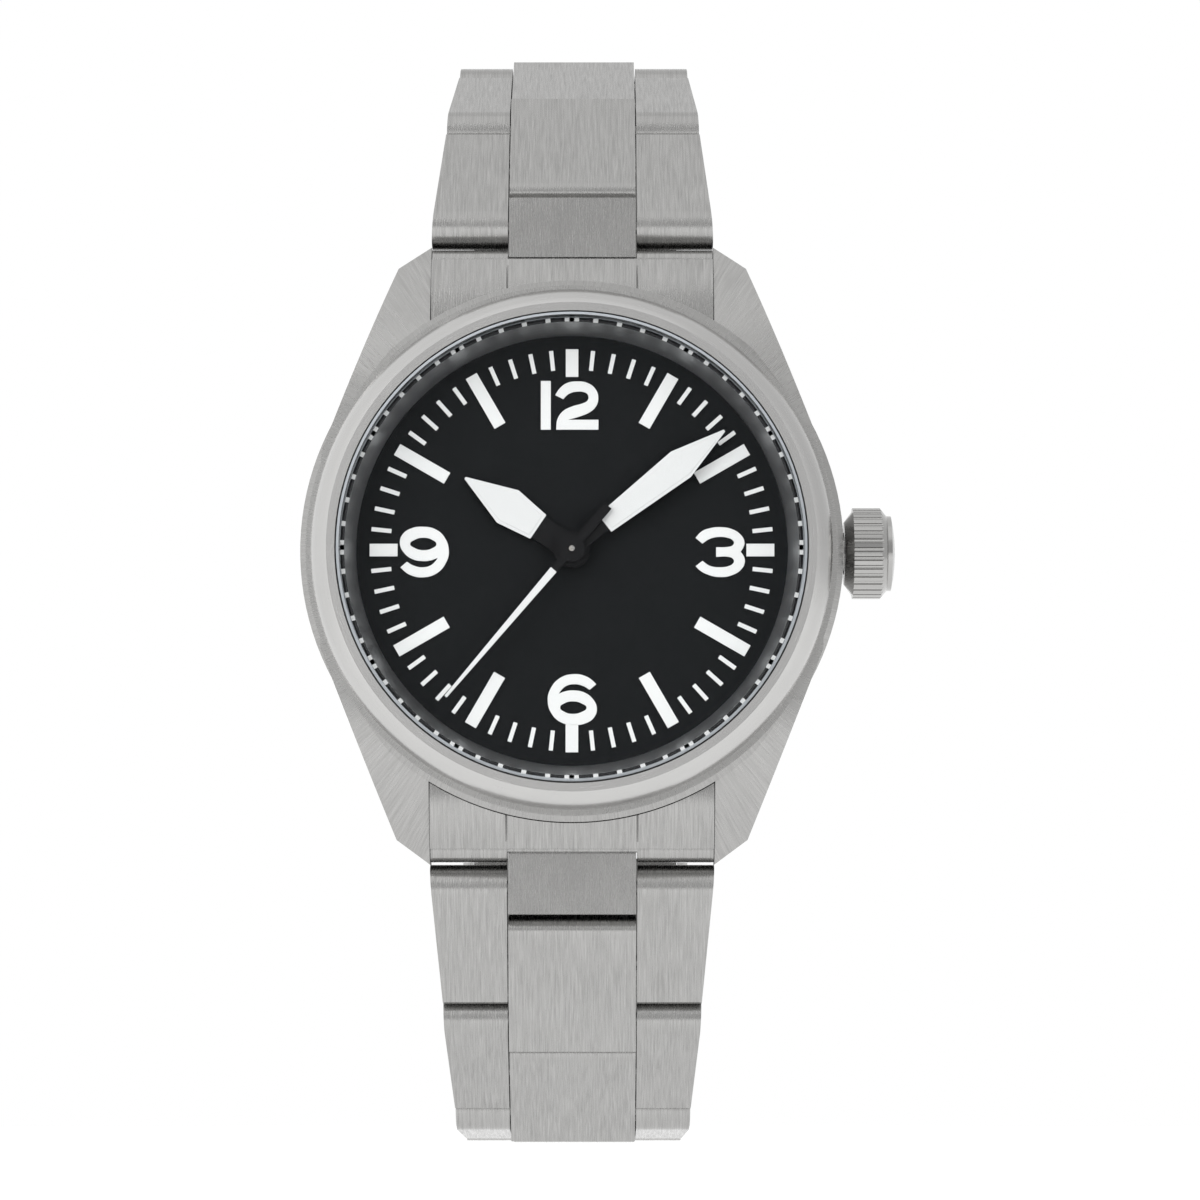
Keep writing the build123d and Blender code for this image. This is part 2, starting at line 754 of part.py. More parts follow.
def make_train_bridge():
    """One bridge over the barrel and the train, cut away round the balance and its cock."""
    face = Circle(bridge_radius) - Pos(*balance_at) * Circle(balance_radius + balance_rim)
    face -= cock_face(cock_clearance)
    inner = balance_radius + balance_rim
    face -= Pos(balance_at[0], balance_at[1] - inner) * Rectangle(2 * inner, 2 * inner)
    bridge = slab(face, bridge_low, bridge_top)
    for x, y in posts_at:
        bridge += disc(post_radius, bridge_low, plate_low, at=(x, y))
        bridge -= disc(screw_radius, bridge_low - overrun, plate_low + overrun, at=(x, y))
    for x, y in ((0.0, 0.0), third_at, escape_at):
        bridge -= disc(jewel_radius, bridge_low - overrun, bridge_top + overrun, at=(x, y))
    bridge -= disc(barrel_arbor_radius + running_gap, bridge_low - overrun, bridge_top + overrun, at=barrel_at)
    bridge += disc(arbor_radius - running_gap, winding_level, bridge_low, at=crown_wheel_at)
    window_length = winding_pinion_length + 8 * running_gap
    window = Pos(winding_pinion_x + winding_pinion_length / 2, 0, bridge_low)
    bridge -= window * Box(window_length, 2 * (winding_pinion_radius + 2 * running_gap), 4 * bridge_thickness)
    return max(bridge.solids(), key=lambda solid: solid.volume)


def make_balance_cock():
    """Cock that carries the balance's upper pivot."""
    cock = slab(cock_face(0), bridge_low, bridge_top)
    cock += disc(cock_width / 2, bridge_low, plate_low, at=cock_post_at)
    cock -= disc(screw_radius, bridge_low - overrun, plate_low + overrun, at=cock_post_at)
    return cock - disc(jewel_radius, bridge_low - overrun, bridge_top + overrun, at=balance_at)


def make_screw(at):
    """Slotted bridge screw."""
    low = bridge_low - screw_head_high
    screw = disc(screw_head_radius, low, bridge_low, at=at) + disc(screw_radius, low, plate_high, at=at)
    slot = Box(2 * screw_head_radius, screw_head_high, screw_head_high)
    return screw - Pos(at[0], at[1], low) * slot


def make_jewel(at):
    """Ring jewel for one pivot, set flush in its bridge."""
    return disc(jewel_radius, bridge_top - jewel_thickness, bridge_top, pivot_radius + running_gap, at)


def make_spacer():
    """Ring that centres the movement in the case, open where the stem passes."""
    ring = disc(spacer_radius, spacer_low, dial_ledge - spacer_clearance, plate_radius + running_gap)
    height = dial_ledge - spacer_low
    way = Pos(spacer_radius, 0, spacer_low + height / 2)
    return ring - way * Box(2 * (spacer_radius - plate_radius) + overrun, 2 * stem_slot_half_width, height)


nodes["main_plate"] = [make_main_plate()]
nodes["train_bridge"] = [make_train_bridge()]
nodes["balance_cock"] = [make_balance_cock()]
nodes["bridge_screws"] = [make_screw(at) for at in (*posts_at, cock_post_at)]
nodes["jewels"] = [make_jewel(at) for at in ((0.0, 0.0), third_at, escape_at, balance_at)]
nodes["movement_ring"] = [make_spacer()]


# Going train, from the barrel to the escape wheel
def drilled(wheel, radius, hole, low, high, at):
    """A wheel lightened by round holes."""
    for index in range(wheel_holes):
        x, y = along(360 * index / wheel_holes, radius)
        wheel -= disc(hole, low, high, at=(at[0] + x, at[1] + y))
    return wheel


def make_barrel():
    """Barrel drum with its toothed rim and lid, hollow for the mainspring."""
    rim = toothed(barrel_teeth, barrel_module, barrel_level, barrel_level + wheel_thickness, 0, barrel_at)
    top = barrel_level + barrel_high
    drum = rim + disc(barrel_drum_radius, barrel_level, top, at=barrel_at)
    room = disc(
        barrel_drum_radius - barrel_wall, barrel_level + wheel_thickness, top - wheel_thickness, at=barrel_at)
    drum -= room
    return drum - disc(barrel_arbor_radius + running_gap, barrel_level - overrun, top + overrun, at=barrel_at)


def make_mainspring():
    """Coiled mainspring inside the barrel."""
    gap = running_gap
    return spiral_band(
        barrel_arbor_radius + mainspring_thickness, barrel_drum_radius - barrel_wall - mainspring_thickness,
        mainspring_turns, mainspring_thickness, barrel_level + wheel_thickness + gap,
        barrel_level + barrel_high - wheel_thickness - gap, barrel_at,
    )


def make_centre_wheel():
    """Centre wheel with its pinion on a hollow arbor."""
    wheel = toothed(centre_teeth, centre_module, centre_level, centre_level + wheel_thickness, centre_bore)
    wheel = drilled(
        wheel, centre_module * centre_teeth / 3, centre_module * centre_teeth / 10,
        centre_level, centre_level + wheel_thickness, (0.0, 0.0))
    wheel += disc(centre_arbor_radius, centre_level, cannon_level - running_gap, centre_bore)
    wheel += disc(centre_top_radius, centre_level, centre_top_high, centre_bore)
    return wheel + toothed(
        centre_pinion_leaves, barrel_module, barrel_level, barrel_level + 2 * wheel_thickness, centre_bore,
        phase=meshed(barrel_teeth, barrel_angle + 180, centre_pinion_leaves))


def make_third_wheel():
    """Third wheel with its pinion above it, level with the centre wheel."""
    top = third_level + wheel_thickness
    wheel = toothed(third_teeth, third_module, third_level, top, 0, third_at)
    wheel = drilled(
        wheel, third_module * third_teeth / 3, third_module * third_teeth / 10, third_level, top, third_at)
    wheel += toothed(
        third_pinion_leaves, centre_module, third_level, centre_level + wheel_thickness, 0, third_at,
        meshed(centre_teeth, third_angle, third_pinion_leaves))
    return wheel + disc(pivot_radius, bridge_top - jewel_thickness, plate_high - running_gap, at=third_at)


def make_fourth_wheel():
    """Fourth wheel, whose long arbor comes up through the dial to carry the second hand."""
    wheel = toothed(fourth_teeth, fourth_module, fourth_level, fourth_level + wheel_thickness, 0)
    wheel = drilled(
        wheel, fourth_module * fourth_teeth / 3, fourth_module * fourth_teeth / 10,
        fourth_level, fourth_level + wheel_thickness, (0.0, 0.0))
    leaf_low = fourth_level + wheel_thickness
    wheel += toothed(
        fourth_pinion_leaves, third_module, leaf_low, centre_level - running_gap, 0,
        phase=meshed(third_teeth, third_angle + 180, fourth_pinion_leaves))
    wheel += disc(arbor_radius, leaf_low, second_hand_low + 2 * second_hand_thickness)
    return wheel + disc(pivot_radius, bridge_top - jewel_thickness, fourth_level)


def make_escape_wheel():
    """Club-tooth escape wheel with its pinion down at the fourth wheel's level."""
    root = escape_radius - pallet_length / 2
    points = []
    for tooth in range(escape_teeth):
        step = 360 / escape_teeth
        points += [along(tooth * step, root), along((tooth + 1 / 2) * step, escape_radius)]
        points.append(along((tooth + 2 / 3) * step, root))
    face = polygon(*points) - Circle(root - balance_rim)
    spokes = Rectangle(2 * root - balance_rim, spoke_width) + Rectangle(spoke_width, 2 * root - balance_rim)
    face += spokes
    wheel = Pos(escape_at[0], escape_at[1], escape_level) * extrude(face, amount=wheel_thickness)
    wheel += toothed(
        escape_pinion_leaves, fourth_module, fourth_level, fourth_level + 2 * wheel_thickness, 0, escape_at,
        meshed(fourth_teeth, escape_angle, escape_pinion_leaves))
    return wheel + disc(pivot_radius, bridge_top - jewel_thickness, plate_high - running_gap, at=escape_at)


nodes["mainspring_barrel"] = [make_barrel()]
nodes["mainspring"] = [make_mainspring()]
nodes["centre_wheel"] = [make_centre_wheel()]
nodes["third_wheel"] = [make_third_wheel()]
nodes["fourth_wheel"] = [make_fourth_wheel()]
nodes["escape_wheel"] = [make_escape_wheel()]


# Pallet fork, balance wheel and hairspring
def make_pallet_fork():
    """Anchor with two pallets towards the escape wheel and a forked lever towards the balance."""
    lever_length = balance_distance - roller_radius
    lever = Pos(lever_length / 2, 0) * Rectangle(lever_length, lever_width)
    lever -= Pos(lever_length, 0) * Rectangle(lever_width, 3 * impulse_pin_radius)
    arms = Rectangle(lever_width, 2 * pallet_spread)
    reach = pallet_distance - escape_radius
    stones = [
        Pos(-reach / 2, side * pallet_spread) * Rectangle(reach, lever_width) for side in (1, -1)
    ]
    face = lever + arms + stones + Circle(lever_width) - Pos(-pallet_distance, 0) * Circle(
        escape_radius + running_gap)
    body = slab(face, escape_level, escape_level + wheel_thickness)
    body += disc(pivot_radius, bridge_top + running_gap, plate_high - running_gap)
    return Pos(pallet_at[0], pallet_at[1], 0) * Rot(0, 0, pallet_direction) * body


def make_balance_wheel():
    """Balance rim on three spokes, with its staff, roller and impulse pin."""
    top = balance_level + balance_high
    wheel = disc(balance_radius, balance_level, top, balance_radius - balance_rim)
    for index in range(balance_spokes):
        length = balance_radius - balance_rim / 2
        spoke = Pos(length / 2, 0, balance_level + wheel_thickness / 2) * Box(length, spoke_width, wheel_thickness)
        wheel += Rot(0, 0, 360 * index / balance_spokes) * spoke
    wheel += disc(pivot_radius, bridge_top - jewel_thickness, plate_high - running_gap)
    wheel += disc(roller_radius, roller_level, roller_level + wheel_thickness / 2)
    pin = disc(impulse_pin_radius, roller_level, escape_level + wheel_thickness, at=(
        -impulse_pin_place, 0.0))
    wheel += pin
    return Pos(balance_at[0], balance_at[1], 0) * Rot(0, 0, pallet_direction) * wheel


def make_hairspring():
    """Flat hairspring between the collet round the staff and the stud under the cock."""
    top = hairspring_level + hairspring_high
    spring = spiral_band(
        hairspring_inner_radius, hairspring_outer_radius, hairspring_turns, hairspring_thickness,
        hairspring_level, top)
    spring += disc(hairspring_inner_radius, hairspring_level, top, pivot_radius + running_gap)
    stud = Pos(hairspring_outer_radius, 0, (bridge_top + top) / 2)
    spring += stud * Box(lever_width, lever_width, top - bridge_top)
    return Pos(balance_at[0], balance_at[1], 0) * Rot(0, 0, 180) * spring


nodes["pallet_fork"] = [make_pallet_fork()]
nodes["balance_wheel"] = [make_balance_wheel()]
nodes["hairspring"] = [make_hairspring()]


# Motion work between the plate and the dial
def make_cannon_pinion():
    """Cannon pinion: leaves at its foot and the tube that carries the minute hand."""
    leaves = toothed(cannon_leaves, motion_module, cannon_level, cannon_level + cannon_leaf_high, cannon_bore)
    return leaves + disc(cannon_radius, cannon_level, minute_hand_low + hand_thickness, cannon_bore)


def make_minute_wheel():
    """Minute wheel with its pinion, on a stud in the plate."""
    wheel = toothed(
        minute_wheel_teeth, motion_module, minute_wheel_level, minute_wheel_level + wheel_thickness / 2, 0,
        motion_at, meshed(cannon_leaves, motion_angle, minute_wheel_teeth))
    wheel += toothed(
        minute_pinion_leaves, motion_module, minute_wheel_level, dial_ledge - running_gap, 0, motion_at)
    return wheel - disc(pivot_radius, plate_high, dial_ledge, at=motion_at)


def make_hour_wheel():
    """Hour wheel with the pipe that carries the hour hand."""
    wheel = toothed(
        hour_wheel_teeth, motion_module, hour_wheel_level, hour_wheel_level + wheel_thickness, hour_pipe_bore,
        phase=meshed(minute_pinion_leaves, motion_angle + 180, hour_wheel_teeth))
    return wheel + disc(hour_pipe_radius, hour_wheel_level, hour_hand_low + hand_thickness, hour_pipe_bore)


nodes["cannon_pinion"] = [make_cannon_pinion()]
nodes["minute_wheel"] = [make_minute_wheel()]
nodes["hour_wheel"] = [make_hour_wheel()]


# Winding work and rotor
def make_ratchet_wheel():
    """Ratchet wheel squared on the barrel arbor."""
    wheel = toothed(ratchet_teeth, winding_module, winding_level, bridge_low - running_gap, 0, barrel_at)
    top = barrel_level + barrel_high
    wheel += disc(barrel_arbor_radius, winding_level, barrel_level + wheel_thickness, at=barrel_at)
    return wheel + disc(barrel_arbor_radius - barrel_wall, winding_level, top, at=barrel_at)


def make_winding_pinion():
    """Winding pinion that turns with the stem and lets it slide."""
    pinion = toothed(
        winding_pinion_leaves, 2 * winding_pinion_radius / (winding_pinion_leaves + 2), 0,
        winding_pinion_length, stem_radius + running_gap)
    return Pos(winding_pinion_x, 0, crown_axis_high) * Rot(0, 90, 0) * pinion


def make_setting_lever():
    """Setting lever: a pivoted arm whose pin sits in the stem's groove."""
    pivot = (stem_groove_x, -setting_lever_reach)
    arm = Pos(stem_groove_x, -setting_lever_reach / 2) * Rectangle(setting_lever_width, setting_lever_reach)
    ends = Pos(*pivot) * Circle(setting_lever_width) + Pos(stem_groove_x, 0) * Circle(setting_lever_width / 2)
    top = setting_lever_level + wheel_thickness
    lever = slab(arm + ends, setting_lever_level, top)
    pin_low = crown_axis_high + stem_groove_radius + running_gap
    lever += disc(pivot_radius, pin_low, setting_lever_level, at=(stem_groove_x, 0.0))
    return lever + disc(screw_radius, setting_lever_level, plate_low - running_gap, at=pivot)


def make_rotor():
    """Winding rotor: a half disc with a heavy rim, hanging towards 6 o'clock."""
    low_half = Pos(0, -rotor_radius / 2) * Rectangle(2 * rotor_radius, rotor_radius)
    web = (Circle(rotor_radius) & low_half) + Circle(rotor_hub_radius) - Circle(rotor_bearing_radius + running_gap)
    rim = (Circle(rotor_radius) - Circle(rotor_rim_inner_r)) & low_half
    return slab(web, rotor_web_low, rotor_web_high) + slab(rim, rotor_rim_low, rotor_rim_high)


def make_rotor_bearing():
    """Bearing post screwed to the bridge, with a flange that keeps the rotor on."""
    flange = rotor_web_low - running_gap
    post = disc(rotor_bearing_radius, rotor_bearing_low, bridge_low)
    return post + disc(rotor_hub_radius - barrel_wall, rotor_bearing_low, flange)


nodes["ratchet_wheel"] = [make_ratchet_wheel()]
winding_angle = math.degrees(math.atan2(-barrel_at[1], crown_wheel_at[0] - barrel_at[0]))
nodes["crown_wheel"] = [toothed(
    crown_wheel_teeth, winding_module, winding_level, bridge_low - running_gap, arbor_radius, crown_wheel_at,
    meshed(ratchet_teeth, winding_angle, crown_wheel_teeth),
)]
nodes["winding_pinion"] = [make_winding_pinion()]
nodes["setting_lever"] = [make_setting_lever()]
nodes["rotor"] = [make_rotor()]
nodes["rotor_bearing"] = [make_rotor_bearing()]

# Bracelet rows. A row is drawn with its hinge pin at the origin, running along +Y
link_half = link_thickness / 2
outer_reach = link_pitch - link_half - row_gap


def outer_profile():
    """Side view of an outer piece: rolled at its hinge, crisp at its far end."""
    body = polygon(
        (0, -link_half), (outer_reach - link_edge, -link_half), (outer_reach, link_edge - link_half),
        (outer_reach, link_half - link_edge), (outer_reach - link_edge, link_half), (0, link_half),
    )
    return body + Circle(link_half)


def tongue_end(reach_from):
    """Trims the lower corner of a tongue to an arc about the next pin."""
    corner = Pos(reach_from + tongue_reach, -link_half) * Rectangle(2 * tongue_reach, link_thickness)
    return corner - Pos(reach_from, 0) * Circle(tongue_reach)


def centre_profile(last):
    """Side view of a centre piece: it starts behind its own pin and ends past the next one."""
    start = tongue_reach + tongue_gap
    foot = math.sqrt(start**2 - link_half**2)
    end = link_pitch if last else link_pitch + tongue_reach
    body = polygon((start, 0), (foot, 0), (foot, -link_half), (end, -link_half), (end, link_half), (start, link_half))
    body -= Circle(start)
    roll = Pos(start + centre_roll_radius / 2, link_half - centre_roll_radius / 2) * Rectangle(
        centre_roll_radius, centre_roll_radius)
    body -= roll - Pos(start + centre_roll_radius, link_half - centre_roll_radius) * Circle(centre_roll_radius)
    if last:
        return body + Pos(link_pitch, 0) * Circle(link_half)
    return body - tongue_end(link_pitch)


def make_outer(near_width, far_width, side):
    """One outer piece of a row, narrowing towards its far end."""
    inner = centre_width / 2 + side_gap
    plan = polygon(
        (side * inner, -link_half), (side * near_width / 2, -link_half),
        (side * far_width / 2, outer_reach), (side * inner, outer_reach),
    )
    piece = across(outer_profile(), near_width / 2) & slab(plan, -link_half, link_half)
    piece -= cross_bar(pin_radius, near_width, 0, 0)
    return piece - cross_bar(pin_radius, near_width, own_pin_place, 0)


def make_row(near_width, far_width, last):
    """The solids of one row: two outer pieces, the centre piece and two pins."""
    centre = across(centre_profile(last), centre_width / 2)
    centre -= cross_bar(pin_radius + running_gap, centre_width, link_pitch, 0)
    centre -= cross_bar(pin_radius, centre_width, own_pin_place, 0)
    slope = (near_width - far_width) / link_pitch
    pins = [
        cross_bar(pin_radius, near_width - slope * (place + link_half) - 2 * pin_inset, place, 0)
        for place in (0, own_pin_place)
    ]
    return [make_outer(near_width, far_width, side) for side in (-1, 1)] + [centre] + pins


def pin_places(slopes):
    """Pins along one half of the bracelet as (y, height), from the end link to the clasp."""
    y, high = first_pin_y, first_pin_high
    places = [(y, high)]
    for slope in slopes:
        y += link_pitch * math.cos(math.radians(slope))
        high -= link_pitch * math.sin(math.radians(slope))
        places.append((y, high))
    return places


def row_width(index):
    """Width of the bracelet at the start of a row; it stops narrowing after the last of the list."""
    return row_widths[min(index, len(row_widths) - 1)]


upper_pins = pin_places(upper_slopes)
lower_pins = pin_places(lower_slopes)
half_turn = Rot(0, 0, 180)
halves = (("upper", upper_slopes, upper_pins, Rot(0, 0, 0)), ("lower", lower_slopes, lower_pins, half_turn))
for name, slopes, pins, turn in halves:
    for index, slope in enumerate(slopes):
        place = turn * Pos(0, pins[index][0], pins[index][1]) * Rot(-slope, 0, 0)
        row = make_row(row_width(index), row_width(index + 1), index == len(slopes) - 1)
        nodes[f"{name}_row_{index + 1}"] = [place * solid for solid in row]
last_upper = len(upper_slopes)
last_place = Pos(0, upper_pins[-2][0], upper_pins[-2][1]) * Rot(-upper_slopes[-1], 0, 0)
nodes[f"upper_row_{last_upper}"].append(
    last_place * cross_bar(pin_radius + running_gap, held_bar_length, link_pitch, 0))


# End links: each fills the space between two lugs and ends in the first tongue
def end_link_side():
    """Side view of an end link: a falling crest with a rounded end."""
    crest = ThreePointArc(
        (end_link_start_y, end_link_case_high), (end_link_mid_y, end_link_mid_high),
        (end_link_outer_end_y, end_link_tip_high))
    rest = Polyline(
        (end_link_outer_end_y, end_link_tip_high), (end_link_outer_end_y, end_link_low),
        (end_link_start_y, end_link_low), (end_link_start_y, end_link_case_high),
    )
    side = make_face(Curve() + [crest, rest])
    square = Pos(end_link_outer_end_y - end_link_round / 2, end_link_tip_high) * Rectangle(
        end_link_round, 2 * end_link_round)
    round_at = Pos(end_link_outer_end_y - end_link_round, end_link_tip_high - end_link_round)
    return side - (square - round_at * Circle(end_link_round) - round_at * Pos(0, -end_link_round) * Rectangle(
        2 * end_link_round, 2 * end_link_round))


def make_end_link():
    """End link with its tongue, the bore for the spring bar and the seams of its three parts."""
    width = 2 * (lug_inner_x - end_link_clearance)
    body = across(end_link_side(), width / 2)
    body -= disc(case_radius + end_link_clearance, end_link_low - overrun, case_high + overrun)
    tongue_room = Pos(0, end_link_centre_end_y + link_pitch / 2, first_pin_high)
    body -= tongue_room * Box(centre_width + 2 * side_gap, link_pitch, 2 * link_pitch)
    top = end_link_case_high
    for side in (-1, 1):
        seam = Pos(side * (centre_width / 2 + side_gap), case_radius, top)
        cut = seam * Box(seam_width, 2 * link_pitch, 2 * (top - end_link_mid_high + seam_depth))
        body -= cut
    start = end_link_centre_end_y - first_pin_y + seam_width
    profile = polygon((start, -link_half), (tongue_reach, -link_half), (tongue_reach, link_half), (start, link_half))
    profile -= tongue_end(0)
    tongue = Pos(0, first_pin_y, first_pin_high) * across(profile, centre_width / 2)
    tongue -= cross_bar(pin_radius + running_gap, centre_width, first_pin_y, first_pin_high)
    neck_y = end_link_centre_end_y
    neck = Pos(0, neck_y, first_pin_high) * Box(centre_width, 2 * seam_width, link_thickness - 2 * centre_roll_radius)
    return body + tongue + neck - cross_bar(bar_radius + running_gap, width, bar_y, bar_high)


def make_spring_bar():
    """Spring bar with a sprung tip at each end."""
    body = cross_bar(bar_radius, 2 * (lug_inner_x - end_link_clearance), bar_y, bar_high)
    return body + cross_bar(bar_tip_radius, 2 * (lug_inner_x + bar_tip_length), bar_y, bar_high)


nodes["end_link_top"] = [make_end_link()]
nodes["end_link_bottom"] = [half_turn * make_end_link()]
nodes["spring_bars"] = [make_spring_bar(), half_turn * make_spring_bar()]

# Clasp. Its own frame has Y along the clasp, towards the upper half, and Z outwards
upper_end = upper_pins[-1]
lower_end = (-lower_pins[-1][0], lower_pins[-1][1])
clasp_chord = math.dist(upper_end, lower_end)
clasp_tilt = math.degrees(math.atan2(upper_end[1] - lower_end[1], upper_end[0] - lower_end[0]))
clasp_half = clasp_arc_radius * math.asin(clasp_chord / 2 / clasp_arc_radius)
clasp_centre = -math.sqrt(clasp_arc_radius**2 - (clasp_chord / 2) ** 2)
clasp_place = (
    Pos(0, (upper_end[0] + lower_end[0]) / 2, (upper_end[1] + lower_end[1]) / 2)
    * Rot(clasp_tilt, 0, 0) * Rot(0, 180, 0)
)


def on_arc(distance, offset):
    """Point at a distance along the clasp's arc from its middle, and off it by an offset."""
    angle = distance / clasp_arc_radius
    radius = clasp_arc_radius + offset
    return (radius * math.sin(angle), clasp_centre + radius * math.cos(angle))


def band(start, end, low, high):
    """Side view of a strip that follows the clasp's arc between two offsets."""
    middle = (start + end) / 2
    return make_face(Curve() + [
        ThreePointArc(on_arc(start, low), on_arc(middle, low), on_arc(end, low)),
        Line(on_arc(end, low), on_arc(end, high)),
        ThreePointArc(on_arc(end, high), on_arc(middle, high), on_arc(start, high)),
        Line(on_arc(start, high), on_arc(start, low)),
    ])


outer_hinge_at = clasp_half - outer_hinge_inset
inner_hinge_at = inner_hinge_inset - clasp_half
outer_hinge = on_arc(outer_hinge_at, outer_hinge_offset)
inner_hinge = on_arc(inner_hinge_at, inner_hinge_offset)
last_bar = on_arc(-clasp_half, 0)
cover_inner_width = cover_width - 2 * cover_wall


def make_clasp_cover():
    """Outer shell of the clasp: an arched plate with two side walls that reach the last row's bar."""
    stop = clasp_half - cover_end_inset
    cheek = (cover_top_offset - cover_wall_offset) / 2
    side = band(-clasp_half, stop, cover_wall_offset, cover_top_offset)
    side += Pos(*on_arc(-clasp_half, (cover_top_offset + cover_wall_offset) / 2)) * Circle(cheek)
    cover = across(side, cover_width / 2)
    crest = clasp_arc_radius + cover_top_offset
    rims = [
        edge for edge in cover.edges().filter_by(GeomType.CIRCLE) if abs(edge.radius - crest) < running_gap
    ]
    cover = chamfer(rims, cover_edge)
    room = band(-clasp_half - 2 * cheek, stop + cheek, cover_wall_offset - cheek, cover_inner_offset)
    room += band(-clasp_half - 2 * cheek, cover_start_inset - clasp_half, 0, cover_top_offset + cheek)
    cover -= across(room, cover_inner_width / 2)
    for index in range(1, adjust_holes + 1):
        cover -= cross_bar(adjust_hole_radius, cover_width, *on_arc(index * adjust_hole_pitch - clasp_half, 0))
    for hinge in (last_bar, outer_hinge):
        cover -= cross_bar(pin_radius, cover_width, *hinge)
    return cover - cross_bar(button_radius + running_gap, cover_width, *on_arc(button_place, button_offset))


def side_bars(radius, inner_half, outer_half, at):
    """A pair of round bars along X, one on each side of the middle."""
    middle, length = (inner_half + outer_half) / 2, outer_half - inner_half
    return [cross_bar(radius, length, at[0], at[1], side * middle) for side in (-1, 1)]


def make_middle_blade():
    """Blade between the cover's hinge and the inner hinge, with a knuckle at each end."""
    top = middle_blade_offset + blade_thickness
    blade = across(band(inner_hinge_at, outer_hinge_at, middle_blade_offset, top), blade_width / 2)
    tongue = hinge_tongue_width / 2
    blade -= side_bars(inner_hinge_tube + hinge_side_gap, tongue, blade_width, inner_hinge)
    blade += cross_bar(inner_hinge_tube, hinge_tongue_width, *inner_hinge)
    blade += cross_bar(outer_hinge_tube, cover_inner_width - 2 * outer_hinge_gap, *outer_hinge)
    blade -= cross_bar(pin_radius + running_gap, cover_width, *outer_hinge)
    return blade - cross_bar(pin_radius, cover_width, *inner_hinge)


def make_inner_blade():
    """Blade that runs from the inner hinge to the fork that takes the upper half's bar."""
    top = inner_blade_offset + blade_thickness
    plate_end = clasp_half - fork_plate_inset
    blade = across(band(inner_hinge_at, plate_end, inner_blade_offset, top), blade_width / 2)
    notch = hinge_tongue_width + 2 * hinge_side_gap
    blade -= cross_bar(inner_hinge_tube + hinge_side_gap, notch, *inner_hinge)
    blade += side_bars(inner_hinge_tube, notch / 2, blade_width / 2, inner_hinge)
    root = clasp_half - fork_ear_root
    ear = polygon(
        on_arc(root, inner_blade_offset), on_arc(clasp_half, -fork_ear_radius), on_arc(clasp_half, 0),
        on_arc(clasp_half - fork_shoulder, fork_shoulder), on_arc(root, top),
    )
    ear += Pos(*on_arc(clasp_half, 0)) * Circle(fork_ear_radius)
    slot = band(plate_end, clasp_half + fork_ear_root, inner_blade_offset - fork_ear_radius, fork_ear_root)
    blade += across(ear, blade_width / 2)
    blade -= across(slot, fork_slot_width / 2)
    blade -= cross_bar(adjust_hole_radius, cover_width, *on_arc(clasp_half, 0))
    return blade - cross_bar(pin_radius + running_gap, cover_width, *inner_hinge)


def make_button(side):
    """Push button of the clasp, with the collar that keeps it in the cover's wall."""
    at = on_arc(button_place, button_offset)
    inner = cover_inner_width / 2 - running_gap
    outer = cover_width / 2 + button_stand
    head = cross_bar(button_radius, outer - inner, at[0], at[1], side * (inner + outer) / 2)
    return head + cross_bar(
        button_collar_radius, button_collar, at[0], at[1], side * (inner - button_collar / 2))


clasp_bars = [cross_bar(pin_radius, cover_width - 2 * pin_inset, *hinge) for hinge in (last_bar, outer_hinge)]
nodes["clasp_cover"] = [clasp_place * make_clasp_cover()]
nodes["clasp_bars"] = [clasp_place * bar for bar in clasp_bars]
nodes["clasp_middle_blade"] = [
    clasp_place * make_middle_blade(),
    clasp_place * cross_bar(pin_radius, blade_width - 2 * pin_inset, *inner_hinge),
]
nodes["clasp_inner_blade"] = [clasp_place * make_inner_blade()]
nodes["clasp_button_left"] = [clasp_place * make_button(1)]
nodes["clasp_button_right"] = [clasp_place * make_button(-1)]

# Stand the watch up and write one file for each piece
stand_up = Rot(90, 0, 0)
for name, solids in nodes.items():
    shape = Compound([solid for item in solids for solid in (stand_up * item).solids()])
    export_step(shape, f"parts/{name}.step")
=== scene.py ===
"""A field watch on a three-row steel bracelet, dressed for its portrait.

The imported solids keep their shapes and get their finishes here: brushed and polished
steel, matt dial, sapphire, rubber, gilt wheels, striped bridges and rubies. Made here
are the hour numerals, the minute ring round the dial, the luminous inlays of the
hands, the timing screws of the balance, the camera, the lights and the floor.

Sizes are millimetres in the frame in which the watch lies on its back: x to three
o'clock, y to twelve o'clock and high above the case back. upright() turns a place in
it to the standing frame in metres, in which every mesh is kept.
"""

import logging
import math
from dataclasses import dataclass
from enum import Enum

import bmesh
import bpy
from mathutils import Matrix, Vector


